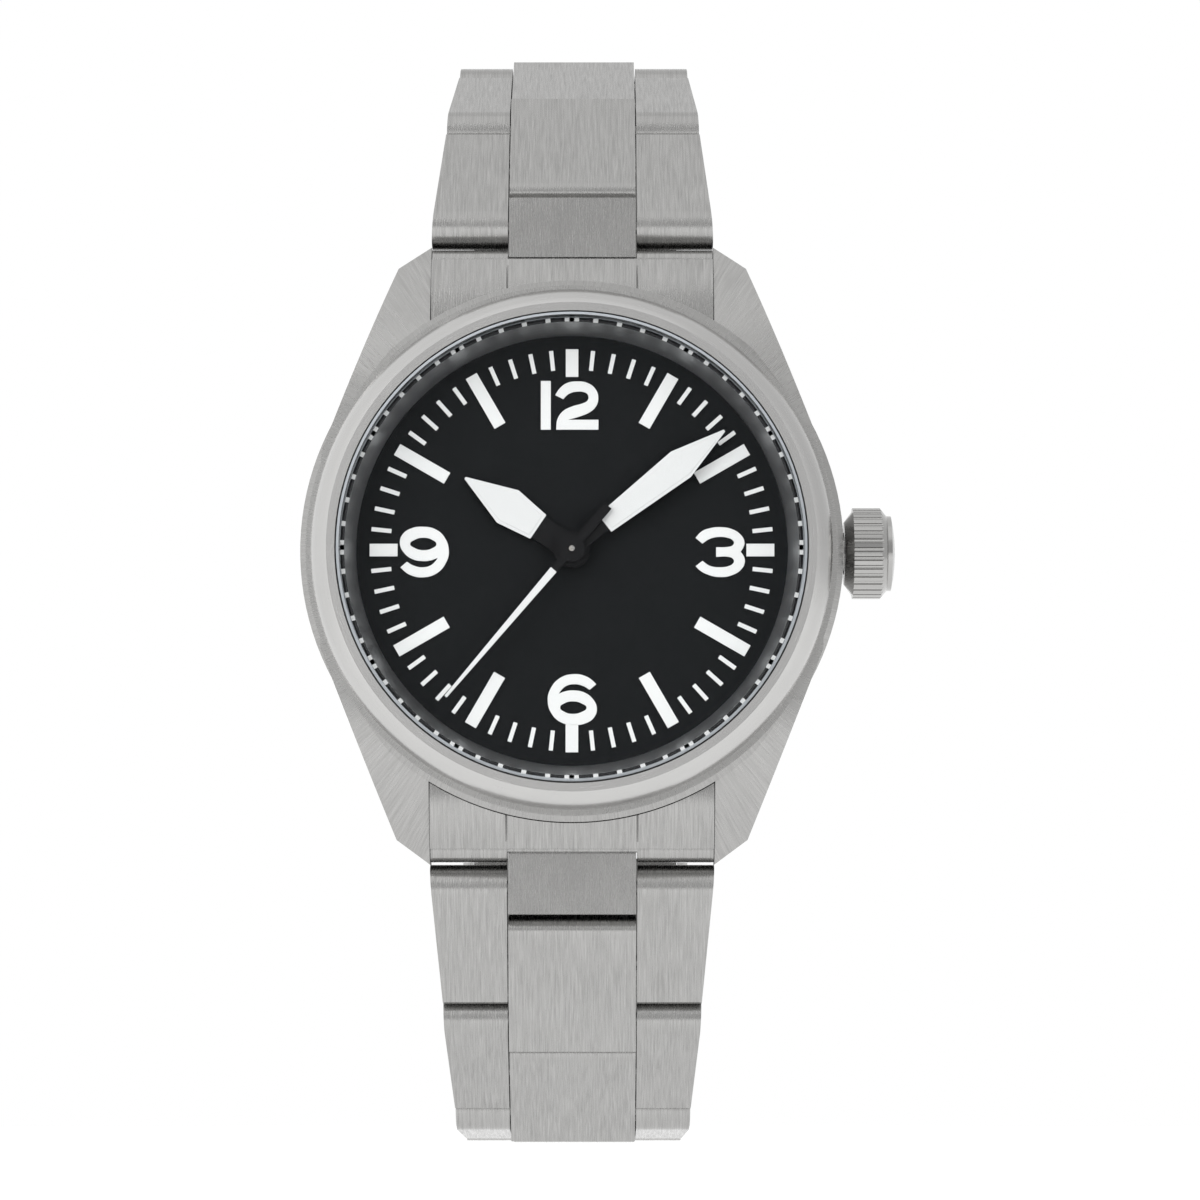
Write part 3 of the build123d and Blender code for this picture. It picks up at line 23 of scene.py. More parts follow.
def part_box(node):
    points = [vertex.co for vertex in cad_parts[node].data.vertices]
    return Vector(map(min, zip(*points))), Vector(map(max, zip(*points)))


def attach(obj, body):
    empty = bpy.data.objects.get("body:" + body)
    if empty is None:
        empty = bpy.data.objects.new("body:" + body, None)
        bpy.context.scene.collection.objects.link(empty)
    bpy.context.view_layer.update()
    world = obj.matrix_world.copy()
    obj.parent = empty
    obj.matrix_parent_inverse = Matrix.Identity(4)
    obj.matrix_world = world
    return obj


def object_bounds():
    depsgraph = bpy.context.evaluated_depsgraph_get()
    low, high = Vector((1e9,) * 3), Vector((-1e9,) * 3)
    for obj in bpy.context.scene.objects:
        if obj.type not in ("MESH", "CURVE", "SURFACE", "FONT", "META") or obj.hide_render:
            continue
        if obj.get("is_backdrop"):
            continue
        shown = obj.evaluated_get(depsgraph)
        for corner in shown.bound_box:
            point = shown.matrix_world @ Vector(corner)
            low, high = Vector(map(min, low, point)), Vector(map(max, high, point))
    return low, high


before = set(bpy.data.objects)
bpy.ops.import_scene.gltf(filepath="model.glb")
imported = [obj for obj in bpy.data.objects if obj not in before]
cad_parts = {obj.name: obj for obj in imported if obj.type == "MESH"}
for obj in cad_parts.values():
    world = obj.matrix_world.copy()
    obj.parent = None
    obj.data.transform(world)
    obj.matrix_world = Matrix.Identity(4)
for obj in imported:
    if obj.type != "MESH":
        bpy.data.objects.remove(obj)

Triple = tuple[float, float, float]
Outline = tuple[tuple[float, ...], ...]
Socket = bpy.types.NodeSocket

MM = 0.001
QUARTER_TURN = math.radians(90.0)
ORIGIN = (0.0, 0.0, 0.0)
WHITE = (1.0, 1.0, 1.0)
log = logging.getLogger("field_watch")


class Slot(Enum):
    """Names of material slots for the pieces made here; no piece is given one."""

    CHAPTER = "chapter"
    PRINT = "print"
    BRASS = "brass"


class Grain(Enum):
    """The way a metal surface was worked."""

    LENGTHWISE = "lines along the bracelet"
    SUNRAY = "lines out from a centre"
    CIRCULAR = "rings round a centre"
    STRIPES = "broad ground stripes"
    PEARLS = "overlapping ground spots"
    POLISHED = "mirror with hairlines"


def upright(x: float, y: float, high: float) -> Vector:
    """Turn a place on the lying watch to the standing frame.

    Args:
        x: Towards three o'clock, in millimetres.
        y: Towards twelve o'clock, in millimetres.
        high: Above the case back, in millimetres.

    Returns:
        The place in metres in the standing frame.
    """
    return Vector((x, -high, y)) * MM


def node_centre(node: str) -> Triple:
    """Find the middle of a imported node's box.

    Args:
        node: The node's name.

    Returns:
        The middle in metres in the standing frame.
    """
    low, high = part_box(node)
    return tuple((low[i] + high[i]) / 2 for i in range(3))


def darker(colour: Triple, share: float) -> Triple:
    """Take a share of a colour's light.

    Args:
        colour: The colour.
        share: The share that is left.

    Returns:
        The darker colour.
    """
    return tuple(c * share for c in colour)


def opaque(value: object) -> object:
    """Give a plain colour its alpha.

    Args:
        value: A colour of three numbers, or anything else.

    Returns:
        The colour with its alpha, or the other value itself.
    """
    plain = isinstance(value, tuple) and len(value) == 3
    return (*value, 1.0) if plain else value


def in_the_scene(name: str, data: bpy.types.ID) -> bpy.types.Object:
    """Make an object and put it in the scene.

    Args:
        name: The object's name.
        data: Its mesh, curve, camera or light.

    Returns:
        The object.
    """
    made = bpy.data.objects.new(name, data)
    bpy.context.scene.collection.objects.link(made)
    return made


class NodeBench:
    """A node tree under construction: makes nodes, sets them and joins them."""

    def __init__(self, tree: bpy.types.NodeTree) -> None:
        """Start on a tree.

        Args:
            tree: The tree that is built.
        """
        self.tree = tree

    def node(self, kind: str, feeds: dict[str | int, object] | None = None,
             **settings: object) -> bpy.types.Node:
        """Add a node.

        Args:
            kind: The node's type.
            feeds: Inputs by name or index, each with a plain value or with the
                output socket that it is joined to.
            **settings: The node's own properties.

        Returns:
            The node.
        """
        made = self.tree.nodes.new(kind)
        for key, value in settings.items():
            setattr(made, key, value)
        for socket, value in (feeds or {}).items():
            self.feed(made, socket, value)
        return made

    def feed(self, node: bpy.types.Node, socket: str | int, value: object) -> None:
        """Set an input from a plain value or join it to another node's output.

        Args:
            node: The node that is fed.
            socket: The input's name or index.
            value: A socket, or a number, colour or vector.
        """
        if isinstance(value, Socket):
            self.tree.links.new(value, node.inputs[socket])
        else:
            node.inputs[socket].default_value = value

    def calc(self, operation: str, *values: object) -> Socket:
        """Work out one step of arithmetic.

        Args:
            operation: The Math node's operation.
            *values: Up to three sockets or numbers.

        Returns:
            The result.
        """
        return self.node("ShaderNodeMath", dict(enumerate(values)),
                         operation=operation).outputs[0]

    def join(self, *parts: object) -> Socket:
        """Join numbers or sockets to a vector.

        Args:
            *parts: Its three parts.

        Returns:
            The vector.
        """
        return self.node("ShaderNodeCombineXYZ", dict(enumerate(parts))).outputs[0]

    def split(self, vector: Socket) -> tuple[Socket, ...]:
        """Take a vector apart.

        Args:
            vector: The vector.

        Returns:
            Its three parts.
        """
        return tuple(self.node("ShaderNodeSeparateXYZ", {0: vector}).outputs)


class ShaderBench(NodeBench):
    """A material under construction."""

    def __init__(self, name: str) -> None:
        """Start a material that has a Principled shader on its output.

        Args:
            name: The material's name.
        """
        self.material = bpy.data.materials.new(name)
        self.material.use_nodes = True
        super().__init__(self.material.node_tree)
        self.tree.nodes.clear()
        self.surface = self.node("ShaderNodeBsdfPrincipled")
        self.output = self.node("ShaderNodeOutputMaterial",
                                {"Surface": self.surface.outputs["BSDF"]})

    def coordinates(self, centre: Triple = ORIGIN, turn: Triple = ORIGIN,
                    scale: Triple = (1.0, 1.0, 1.0)) -> Socket:
        """Give Object coordinates in millimetres about a centre.

        Args:
            centre: The pattern's centre in metres.
            turn: Turn about x, y and z in degrees, after the centring.
            scale: Stretch of each axis, after the turn.

        Returns:
            The pattern's vector.
        """
        steps = ({"Location": tuple(-c / MM for c in centre), "Scale": (1 / MM,) * 3},
                 {"Rotation": tuple(math.radians(a) for a in turn)}, {"Scale": scale})
        vector = self.node("ShaderNodeTexCoord").outputs["Object"]
        for step in steps:
            vector = self.node("ShaderNodeMapping", {"Vector": vector, **step}).outputs[0]
        return vector

    def polar(self, vector: Socket) -> tuple[Socket, ...]:
        """Turn a vector to the angle and radius about the dial's axis.

        Args:
            vector: A pattern's vector in millimetres.

        Returns:
            The angle in radians, the radius and the depth.
        """
        x, depth, z = self.split(vector)
        squares = self.calc("ADD", self.calc("MULTIPLY", x, x), self.calc("MULTIPLY", z, z))
        return self.calc("ARCTAN2", z, x), self.calc("SQRT", squares), depth

    def noise(self, vector: Socket, scale: float, detail: float = 2.0,
              roughness: float = 0.5) -> Socket:
        """Make a cloud pattern between 0 and 1.

        Args:
            vector: The pattern's vector.
            scale: Spots for each unit of the vector.
            detail: Octaves of finer spots.
            roughness: Strength of the finer spots.

        Returns:
            The pattern's value.
        """
        return self.node("ShaderNodeTexNoise", {
            "Vector": vector, "Scale": scale, "Detail": detail,
            "Roughness": roughness}).outputs["Fac"]

    def between(self, value: Socket, low: float, high: float, from_low: float = 0.0,
                from_high: float = 1.0) -> Socket:
        """Map a value to a range, clamped at its ends.

        Args:
            value: The value that is mapped.
            low: Result at from_low.
            high: Result at from_high.
            from_low: Value that gives low.
            from_high: Value that gives high.

        Returns:
            The mapped value.
        """
        return self.node("ShaderNodeMapRange", {
            "Value": value, "From Min": from_low, "From Max": from_high,
            "To Min": low, "To Max": high}).outputs["Result"]

    def tint(self, value: Socket, first: object, second: object) -> Socket:
        """Mix two colours.

        Args:
            value: 0 for the first colour, 1 for the second.
            first: A colour or a colour socket.
            second: A colour or a colour socket.

        Returns:
            The mixed colour.
        """
        return self.node("ShaderNodeMix", {
            "Factor": value, 6: opaque(first), 7: opaque(second)},
            data_type="RGBA").outputs[2]

    def bump(self, height: Socket, depth: float) -> None:
        """Raise the surface by a height pattern.

        Args:
            height: The pattern, 0 to 1.
            depth: Height of 1 in millimetres.
        """
        raised = self.node("ShaderNodeBump", {"Strength": 1.0, "Distance": depth * MM,
                                              "Height": height})
        self.set({"Normal": raised.outputs["Normal"]})

    def set(self, values: dict[str, object]) -> None:
        """Set or feed inputs of the Principled shader.

        Args:
            values: The inputs' names, each with a colour, a number or a socket.
        """
        for name, value in values.items():
            self.feed(self.surface, name, opaque(value))


@dataclass(frozen=True)
class MetalFinish:
    """A worked metal surface.

    Attributes:
        name: The material's name.
        colour: Colour of the clean metal.
        grain: How it was worked.
        smooth: Roughness on the crests of the grain.
        rough: Roughness in its scratches.
        lines: Lines for each millimetre, or for each degree on a sunray.
        depth: Depth of the lines in millimetres.
        shade: How much darker the scratches are, as a share.
        core: Radius of a steel arbor in the middle, in millimetres.
    """

    name: str
    colour: Triple
    grain: Grain
    smooth: float = 0.18
    rough: float = 0.3
    lines: float = 9.0
    depth: float = 0.0006
    shade: float = 0.14
    core: float = 0.0

    STRAIGHT_STRETCH = {Grain.LENGTHWISE: (1.0, 0.045, 0.045), Grain.POLISHED: (1.0, 0.3, 0.2)}
    ROUND_STRETCH = {Grain.SUNRAY: (57.3, 0.12, 0.12), Grain.CIRCULAR: (0.6, 1.0, 1.0)}
    HAIRLINES = (4.0, 0.7)
    LINES = (3.0, 0.62)
    SLANT = (0.0, 45.0, 0.0)
    STRIPE_WIDTH = 1.6
    SCRATCH_STRETCH = (0.6, 1.0, 14.0)
    SCRATCH_SHARE = 0.3
    TO_THE_PLATE = (-90.0, 0.0, 0.0)
    PEARLS_PER_MM = 0.9
    CRESTS = (0.3, 0.7)
    WEAR_SPOTS = (0.35, 3.0, 0.55)
    WEAR_RANGE = (0.45, 0.75)
    WEAR_MOST = 0.45
    WEAR_SHADE = 0.93
    WEAR_ROUGHNESS = 0.05
    CORE_EDGE = 0.02

    def pattern(self, bench: ShaderBench, centre: Triple) -> Socket:
        """Make the grain's height.

        Args:
            bench: The material under construction.
            centre: Centre of a sunray or ring grain, in metres.

        Returns:
            The height, 0 to 1, or -1 to 1 on pearls.
        """
        if self.grain is Grain.STRIPES:
            return self.stripes(bench)
        if self.grain is Grain.PEARLS:
            return self.pearls(bench)
        fineness = self.HAIRLINES if self.grain is Grain.POLISHED else self.LINES
        if self.grain in self.STRAIGHT_STRETCH:
            vector = bench.coordinates(scale=self.STRAIGHT_STRETCH[self.grain])
        else:
            parts = zip(bench.polar(bench.coordinates(centre)), self.ROUND_STRETCH[self.grain])
            vector = bench.join(*(bench.calc("MULTIPLY", *pair) for pair in parts))
        return bench.noise(vector, self.lines, *fineness)

    def stripes(self, bench: ShaderBench) -> Socket:
        """Make broad ground stripes with fine scratches along them.

        Args:
            bench: The material under construction.

        Returns:
            The height, 0 to 1 and a little over for the scratches.
        """
        across = bench.split(bench.coordinates(turn=self.SLANT))[0]
        saw = bench.calc("FRACT", bench.calc("MULTIPLY", across, 1 / self.STRIPE_WIDTH))
        crown = bench.calc("SINE", bench.calc("MULTIPLY", saw, math.pi))
        fine = bench.noise(bench.coordinates(turn=self.SLANT, scale=self.SCRATCH_STRETCH), 2.0)
        return bench.calc("MULTIPLY_ADD", fine, self.SCRATCH_SHARE, crown)

    def pearls(self, bench: ShaderBench) -> Socket:
        """Make rows of ground spots, each with its rings.

        Args:
            bench: The material under construction.

        Returns:
            The height, -1 to 1.
        """
        spots = bench.node("ShaderNodeTexVoronoi", {
            "Vector": bench.coordinates(turn=self.TO_THE_PLATE), "Randomness": 0.0,
            "Scale": self.PEARLS_PER_MM}, voronoi_dimensions="2D")
        rings = bench.calc("MULTIPLY", spots.outputs["Distance"], self.lines * 2.0)
        return bench.calc("SINE", rings)

    def make(self, centre: Triple = ORIGIN) -> bpy.types.Material:
        """Build the material.

        Args:
            centre: Centre of a sunray or ring grain, in metres.

        Returns:
            The finished material.
        """
        bench = ShaderBench(self.name)
        height = self.pattern(bench, centre)
        worn = bench.noise(bench.coordinates(), *self.WEAR_SPOTS)
        metal = bench.tint(bench.between(height, 0.0, 1.0, *self.CRESTS),
                           darker(self.colour, 1.0 - self.shade), self.colour)
        if self.core:
            radius = bench.polar(bench.coordinates(centre))[1]
            outside = bench.between(radius, 0.0, 1.0, self.core, self.core + self.CORE_EDGE)
            metal = bench.tint(outside, STEEL, metal)
        handled = bench.between(worn, 0.0, self.WEAR_MOST, *self.WEAR_RANGE)
        grain = bench.between(height, self.rough, self.smooth, *self.CRESTS)
        bench.set({
            "Base Color": bench.tint(handled, metal, darker(self.colour, self.WEAR_SHADE)),
            "Metallic": 1.0,
            "Roughness": bench.calc("ADD", grain,
                                    bench.between(worn, 0.0, self.WEAR_ROUGHNESS))})
        bench.bump(height, self.depth)
        return bench.material


@dataclass(frozen=True)
class MattFinish:
    """A dull surface with a fine tooth: lacquer, rubber, moulded plastic or lume.

    Attributes:
        name: The material's name.
        colour: Main colour.
        second: Colour of the fine spots.
        roughness: Mean roughness.
        grain: Spots for each millimetre.
        depth: Height of the spots in millimetres.
        shine: Specular level.
    """

    name: str
    colour: Triple
    second: Triple
    roughness: float = 0.6
    grain: float = 14.0
    depth: float = 0.003
    shine: float = 0.4

    CLOUDS_PER_MM = 0.5
    CLOUD_SPREAD = 0.06

    def make(self) -> bpy.types.Material:
        """Build the material.

        Returns:
            The finished material.
        """
        bench = ShaderBench(self.name)
        place = bench.coordinates()
        tooth = bench.noise(place, self.grain, 3.0, 0.6)
        cloud = bench.noise(place, self.CLOUDS_PER_MM)
        bench.set({
            "Base Color": bench.tint(bench.between(tooth, 0.0, 1.0, 0.35, 0.7),
                                     self.colour, self.second),
            "Roughness": bench.between(cloud, self.roughness - self.CLOUD_SPREAD,
                                       self.roughness + self.CLOUD_SPREAD, 0.3, 0.7),
            "Specular IOR Level": self.shine})
        bench.bump(tooth, self.depth)
        return bench.material


@dataclass(frozen=True)
class PaintedHand:
    """A hand that is black near its hub and white from there to its tip.

    Attributes:
        name: The material's name.
        angle: The hand's angle from twelve o'clock, clockwise, in degrees.
        white_from: Distance from the arbor at which the white starts.
        black: Colour of the hub, the arm and the tail.
        white: Colour of the blade.
        border: Half the width of the border between them.
    """

    name: str
    angle: float
    white_from: float
    black: Triple = (0.006, 0.006, 0.0065)
    white: Triple = (0.72, 0.72, 0.708)
    border: float = 0.02

    def make(self) -> bpy.types.Material:
        """Build the material.

        Returns:
            The finished material.
        """
        bench = ShaderBench(self.name)
        place = bench.coordinates(turn=(0.0, 90.0 - self.angle, 0.0))
        line = bench.between(bench.split(place)[0], 0.0, 1.0, self.white_from - self.border,
                             self.white_from + self.border)
        tooth = bench.noise(place, 18.0)
        white = bench.tint(tooth, self.white, darker(self.white, 0.95))
        bench.set({"Base Color": bench.tint(line, self.black, white),
                   "Roughness": bench.between(line, 0.42, 0.5), "Specular IOR Level": 0.12})
        bench.bump(tooth, 0.002)
        return bench.material


@dataclass(frozen=True)
class SapphireFinish:
    """The crystal: clear where it is flat, with a pale bevel whose glint is painted as a
    diffuse colour.

    Its outer faces have a faint gloss. Its inner faces have none, so that the dial also
    shows through it from the side.

    Attributes:
        name: The material's name.
        bevel_radius: Radius from which the bevel's painted glint shows.
        bevel_edge: Half the width of the step to the bevel.
        bevel_glint_colour: Colour of the light caught in the bevel.
        bevel_share: How much of the bevel shows the painted glint instead of the clear pane.
        clear_colour: Colour of the light that it lets through.
        gloss_index: Refractive index that sets the strength of the gloss.
    """

    name: str = "sapphire"
    bevel_radius: float = 16.1
    bevel_edge: float = 0.03
    bevel_glint_colour: Triple = (0.62, 0.66, 0.7)
    bevel_share: float = 0.55
    clear_colour: Triple = (0.985, 0.99, 0.995)
    gloss_index: float = 1.08

    def make(self) -> bpy.types.Material:
        """Build the material.

        Returns:
            The finished material.
        """
        bench = ShaderBench(self.name)
        bench.tree.nodes.remove(bench.surface)
        place = bench.coordinates()
        bevel = bench.between(bench.polar(place)[1], 0.0, 1.0,
                              self.bevel_radius - self.bevel_edge,
                              self.bevel_radius + self.bevel_edge)
        smudge = bench.between(bench.noise(place, 0.25), 0.01, 0.05)
        clear = bench.node("ShaderNodeBsdfTransparent", {"Color": opaque(self.clear_colour)})
        gloss = bench.node("ShaderNodeBsdfGlossy",
                           {"Color": opaque(WHITE), "Roughness": smudge})
        # The bevel's glint is painted: a pale diffuse colour stands in for the light that the
        # chamfer catches.
        ground = bench.node("ShaderNodeBsdfDiffuse", {"Color": opaque(self.bevel_glint_colour)})
        grazing = bench.node("ShaderNodeFresnel", {"IOR": self.gloss_index})
        side = bench.node("ShaderNodeNewGeometry")
        outside = bench.calc("SUBTRACT", 1.0, side.outputs["Backfacing"])
        pane = bench.node("ShaderNodeMixShader", {
            0: bench.calc("MULTIPLY", grazing.outputs[0], outside),
            1: clear.outputs[0], 2: gloss.outputs[0]})
        whole = bench.node("ShaderNodeMixShader", {
            0: bench.calc("MULTIPLY", bevel, self.bevel_share),
            1: pane.outputs[0], 2: ground.outputs[0]})
        bench.feed(bench.output, "Surface", whole.outputs[0])
        return bench.material


@dataclass(frozen=True)
class RubyFinish:
    """The clear red of a bearing stone.

    Attributes:
        name: The material's name.
        deep: Its darker red.
        light: Its lighter red.
    """

    name: str = "ruby"
    deep: Triple = (0.5, 0.01, 0.04)
    light: Triple = (0.72, 0.03, 0.1)

    def make(self) -> bpy.types.Material:
        """Build the material.

        Returns:
            The finished material.
        """
        bench = ShaderBench(self.name)
        cloud = bench.noise(bench.coordinates(), 3.0)
        bench.set({"Base Color": bench.tint(cloud, self.deep, self.light),
                   "Roughness": bench.between(cloud, 0.04, 0.1), "Coat Weight": 0.6})
        return bench.material


STEEL = (0.4, 0.397, 0.39)
DARK_STEEL = (0.4, 0.4, 0.4)
# A lighter copy of the steel colour: painted light that makes the bezel brighter than the
# case.
STEEL_PAINTED_LIGHTER = (0.5, 0.497, 0.49)
CHAPTER_GREY = (0.5, 0.505, 0.51)
BLUE = (0.09, 0.13, 0.34)
GILT = (0.72, 0.52, 0.24)
NICKEL = (0.6, 0.58, 0.53)

LINK_BRUSH = MetalFinish("steel brushed lengthwise", STEEL, Grain.LENGTHWISE, smooth=0.16,
                         lines=10.0, depth=0.008, shade=0.3)
CASE_BRUSH = MetalFinish("steel brushed outwards", STEEL, Grain.SUNRAY, smooth=0.2,
                         rough=0.34, lines=3.2, depth=0.006, shade=0.22)
BACK_BRUSH = MetalFinish("steel brushed in rings", STEEL, Grain.CIRCULAR, smooth=0.2,
                         rough=0.36, lines=16.0, depth=0.004)
# The bezel's brighter steel is painted light, not a different metal.
BEZEL_SATIN = MetalFinish("satin steel bezel", STEEL_PAINTED_LIGHTER, Grain.CIRCULAR, smooth=0.2,
                          rough=0.25, lines=14.0, shade=0.04)
MIRROR = MetalFinish("polished steel", STEEL, Grain.POLISHED, smooth=0.08, rough=0.16,
                     lines=6.0, shade=0.04)
WHEEL_GILT = MetalFinish("gilt wheel", GILT, Grain.CIRCULAR, lines=14.0, depth=0.002,
                         core=0.5)
GEAR_STEEL = MetalFinish("sunray winding wheel", STEEL, Grain.SUNRAY, smooth=0.16, lines=1.6,
                         depth=0.003)
BRIDGE_STRIPES = MetalFinish("striped bridge", NICKEL, Grain.STRIPES, smooth=0.16, depth=0.02)
PLATE_PEARLS = MetalFinish("pearled plate", NICKEL, Grain.PEARLS, rough=0.32, depth=0.006)
ROTOR_RINGS = MetalFinish("ringed rotor", NICKEL, Grain.CIRCULAR, rough=0.32, depth=0.003)
BLUED_SPRING = MetalFinish("blued spring steel", BLUE, Grain.POLISHED, smooth=0.14,
                           rough=0.24, lines=8.0, shade=0.1)
GREY_SPRING = MetalFinish("grey spring steel", DARK_STEEL, Grain.POLISHED, lines=8.0,
                          shade=0.1)
CHAPTER_STEEL = MetalFinish("chapter ring steel", CHAPTER_GREY, Grain.CIRCULAR, smooth=0.34,
                            rough=0.44, depth=0.001, shade=0.1)
BLACK_RUBBER = MattFinish("black rubber", (0.014, 0.014, 0.014), (0.022, 0.022, 0.022),
                          roughness=0.7)
SPACER_RESIN = MattFinish("grey resin", (0.11, 0.11, 0.115), (0.15, 0.15, 0.155),
                          roughness=0.5, grain=8.0)
DIAL_BLACK = MattFinish("matt black dial", (0.0085, 0.0092, 0.0097),
                        (0.0115, 0.0125, 0.0132), roughness=0.62, grain=11.0, depth=0.004,
                        shine=0.05)
FLANGE_BLACK = MattFinish("black minute ring", (0.009, 0.009, 0.01), (0.014, 0.014, 0.015),
                          roughness=0.5, grain=12.0, depth=0.002, shine=0.3)
PRINT_WHITE = MattFinish("white print", (0.8, 0.8, 0.782), (0.75, 0.75, 0.732),
                         grain=16.0, depth=0.004)
LUME_WHITE = MattFinish("luminous white", (0.71, 0.71, 0.696), (0.66, 0.66, 0.646),
                        roughness=0.7, grain=13.0, depth=0.006)


def dress(nodes: str, material: bpy.types.Material) -> None:
    """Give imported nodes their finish.

    Args:
        nodes: The nodes' names with spaces between them.
        material: Their material.
    """
    for node in nodes.split():
        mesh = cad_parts[node].data
        if mesh.materials:
            for i in range(len(mesh.materials)):
                mesh.materials[i] = material
        else:
            mesh.materials.append(material)
        log.info("%s in %s", node, material.name)


def finished(mesh: bpy.types.Mesh, name: str, body: str,
             material: bpy.types.Material | None = None) -> None:
    """Turn a mesh into a finished piece of the watch.

    Args:
        mesh: The mesh, in place in the standing frame.
        name: The piece's name.
        body: The body that it rides on.
        material: Its material, where the mesh has none yet.
    """
    mesh.name = name
    if material is not None:
        mesh.materials.clear()
        mesh.materials.append(material)
    piece = in_the_scene(name, mesh)
    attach(piece, body)
    log.info("%s: %d faces on %s", name, len(mesh.polygons), body)


def plain_mesh(maker: bpy.types.Object) -> bpy.types.Mesh:
    """Turn an object with a modifier or a curve into a plain mesh and drop the object.

    Args:
        maker: The curve or the mesh with its modifier.

    Returns:
        The evaluated mesh with its seams closed.
    """
    bpy.context.view_layer.update()
    ready = maker.evaluated_get(bpy.context.evaluated_depsgraph_get())
    mesh = bpy.data.meshes.new_from_object(ready)
    maker.modifiers.clear()
    bpy.data.objects.remove(maker)
    work = bmesh.new()
    work.from_mesh(mesh)
    bmesh.ops.remove_doubles(work, verts=work.verts, dist=1e-7)
    bmesh.ops.recalc_face_normals(work, faces=work.faces)
    work.to_mesh(mesh)
    work.free()
    return mesh


def raised_shapes(outlines: list[Outline], low: float, thick: float,
                  rounding: float) -> bpy.types.Mesh:
    """Raise flat outlines from a surface that faces the front.

    Args:
        outlines: Closed outlines in millimetres. A point with a third value is a
            corner. An outline inside another is a hole.
        low: Height of the surface in millimetres.
        thick: Height of the shapes above it.
        rounding: Radius of their upper edge.

    Returns:
        The mesh in the standing frame.
    """
    curve = bpy.data.curves.new("outline", "CURVE")
    curve.dimensions = "2D"
    curve.fill_mode = "BOTH"
    curve.resolution_u = 6
    curve.extrude = thick / 2 - rounding
    curve.bevel_depth = rounding
    curve.bevel_resolution = 1
    curve.offset = -rounding
    for outline in outlines:
        spline = curve.splines.new("BEZIER")
        spline.bezier_points.add(len(outline) - 1)
        spline.use_cyclic_u = True
        for point, (x, y, *corner) in zip(spline.bezier_points, outline):
            point.co = (x, y, 0.0)
            point.handle_left_type = point.handle_right_type = "VECTOR" if corner else "AUTO"
    mesh = plain_mesh(in_the_scene("outline", curve))
    for step in (Matrix.Translation((0.0, 0.0, low + thick / 2)),
                 Matrix.Rotation(QUARTER_TURN, 4, "X"), Matrix.Scale(MM, 4)):
        mesh.transform(step)
    return mesh


class GeometryBench(NodeBench):
    """A Geometry Nodes tree under construction, for shapes that face the front."""

    def __init__(self, name: str, counts: tuple[str, ...], lengths: tuple[str, ...]) -> None:
        """Start a tree that also takes a Place and a Material.

        Args:
            name: The tree's name.
            counts: Names of its whole-number inputs.
            lengths: Names of its lengths.
        """
        super().__init__(bpy.data.node_groups.new(name, "GeometryNodeTree"))
        kinds = {**dict.fromkeys(counts, "NodeSocketInt"),
                 **dict.fromkeys(lengths, "NodeSocketFloat"),
                 "Place": "NodeSocketVector", "Material": "NodeSocketMaterial"}
        for label, kind in kinds.items():
            self.tree.interface.new_socket(name=label, in_out="INPUT", socket_type=kind)
        self.tree.interface.new_socket(name="Geometry", in_out="OUTPUT",
                                       socket_type="NodeSocketGeometry")
        self.inputs = self.node("NodeGroupInput").outputs

    def finish(self, geometry: Socket) -> None:
        """End the tree: turn the shapes to the front, place them and give the material.

        Args:
            geometry: The shapes, made flat round the origin.
        """
        placed = self.node("GeometryNodeTransform", {
            "Geometry": geometry, "Translation": self.inputs["Place"],
            "Rotation": (QUARTER_TURN, 0.0, 0.0)})
        real = self.node("GeometryNodeRealizeInstances", {0: placed.outputs[0]})
        dressed = self.node("GeometryNodeSetMaterial", {
            "Geometry": real.outputs[0], "Material": self.inputs["Material"]})
        self.node("NodeGroupOutput", {"Geometry": dressed.outputs[0]})

    def run(self, values: dict[str, object]) -> bpy.types.Mesh:
        """Run the tree with the given inputs.

        Args:
            values: Input names and their values.

        Returns:
            The plain mesh.
        """
        maker = in_the_scene(self.tree.name, bpy.data.meshes.new(self.tree.name))
        modifier = maker.modifiers.new("nodes", "NODES")
        modifier.node_group = self.tree
        for item in self.tree.interface.items_tree:
            if item.in_out == "INPUT" and item.name in values:
                modifier[item.identifier] = values[item.name]
        return plain_mesh(maker)


def blocks_round_a_circle() -> GeometryBench:
    """Build the tree that sets equal blocks round a circle.

    Returns:
        The tree. Its blocks lie along their radius, and Step picks every so many.
    """
    bench = GeometryBench("blocks round a circle", ("Count", "Step"),
                          ("Radius", "Length", "Width", "Thickness"))
    get = bench.inputs
    circle = bench.node("GeometryNodeMeshCircle",
                        {"Vertices": get["Count"], "Radius": get["Radius"]})
    index = bench.node("GeometryNodeInputIndex").outputs[0]
    wanted = bench.node("FunctionNodeCompare",
                        {0: bench.calc("MODULO", index, get["Step"]), 1: 0.5},
                        data_type="FLOAT", operation="LESS_THAN")
    share = bench.calc("DIVIDE", index, get["Count"])
    turn = bench.join(0.0, 0.0, bench.calc("MULTIPLY", share, math.tau))
    size = bench.join(get["Length"], get["Width"], get["Thickness"])
    block = bench.node("GeometryNodeMeshCube", {"Size": size})
    placed = bench.node("GeometryNodeInstanceOnPoints", {
        "Points": circle.outputs[0], "Selection": wanted.outputs[0],
        "Instance": block.outputs[0], "Rotation": turn})
    bench.finish(placed.outputs[0])
    return bench


def ring_on_a_circle() -> GeometryBench:
    """Build the tree that carries a flat section round a circle.

    Returns:
        The tree.
    """
    bench = GeometryBench("ring on a circle", ("Steps",), ("Radius", "Width", "Thickness"))
    get = bench.inputs
    path = bench.node("GeometryNodeCurvePrimitiveCircle",
                      {"Resolution": get["Steps"], "Radius": get["Radius"]})
    section = bench.node("GeometryNodeCurvePrimitiveQuadrilateral",
                         {"Width": get["Width"], "Height": get["Thickness"]})
    swept = bench.node("GeometryNodeCurveToMesh", {
        "Curve": path.outputs[0], "Profile Curve": section.outputs[0], "Fill Caps": False})
    bench.finish(swept.outputs[0])
    return bench


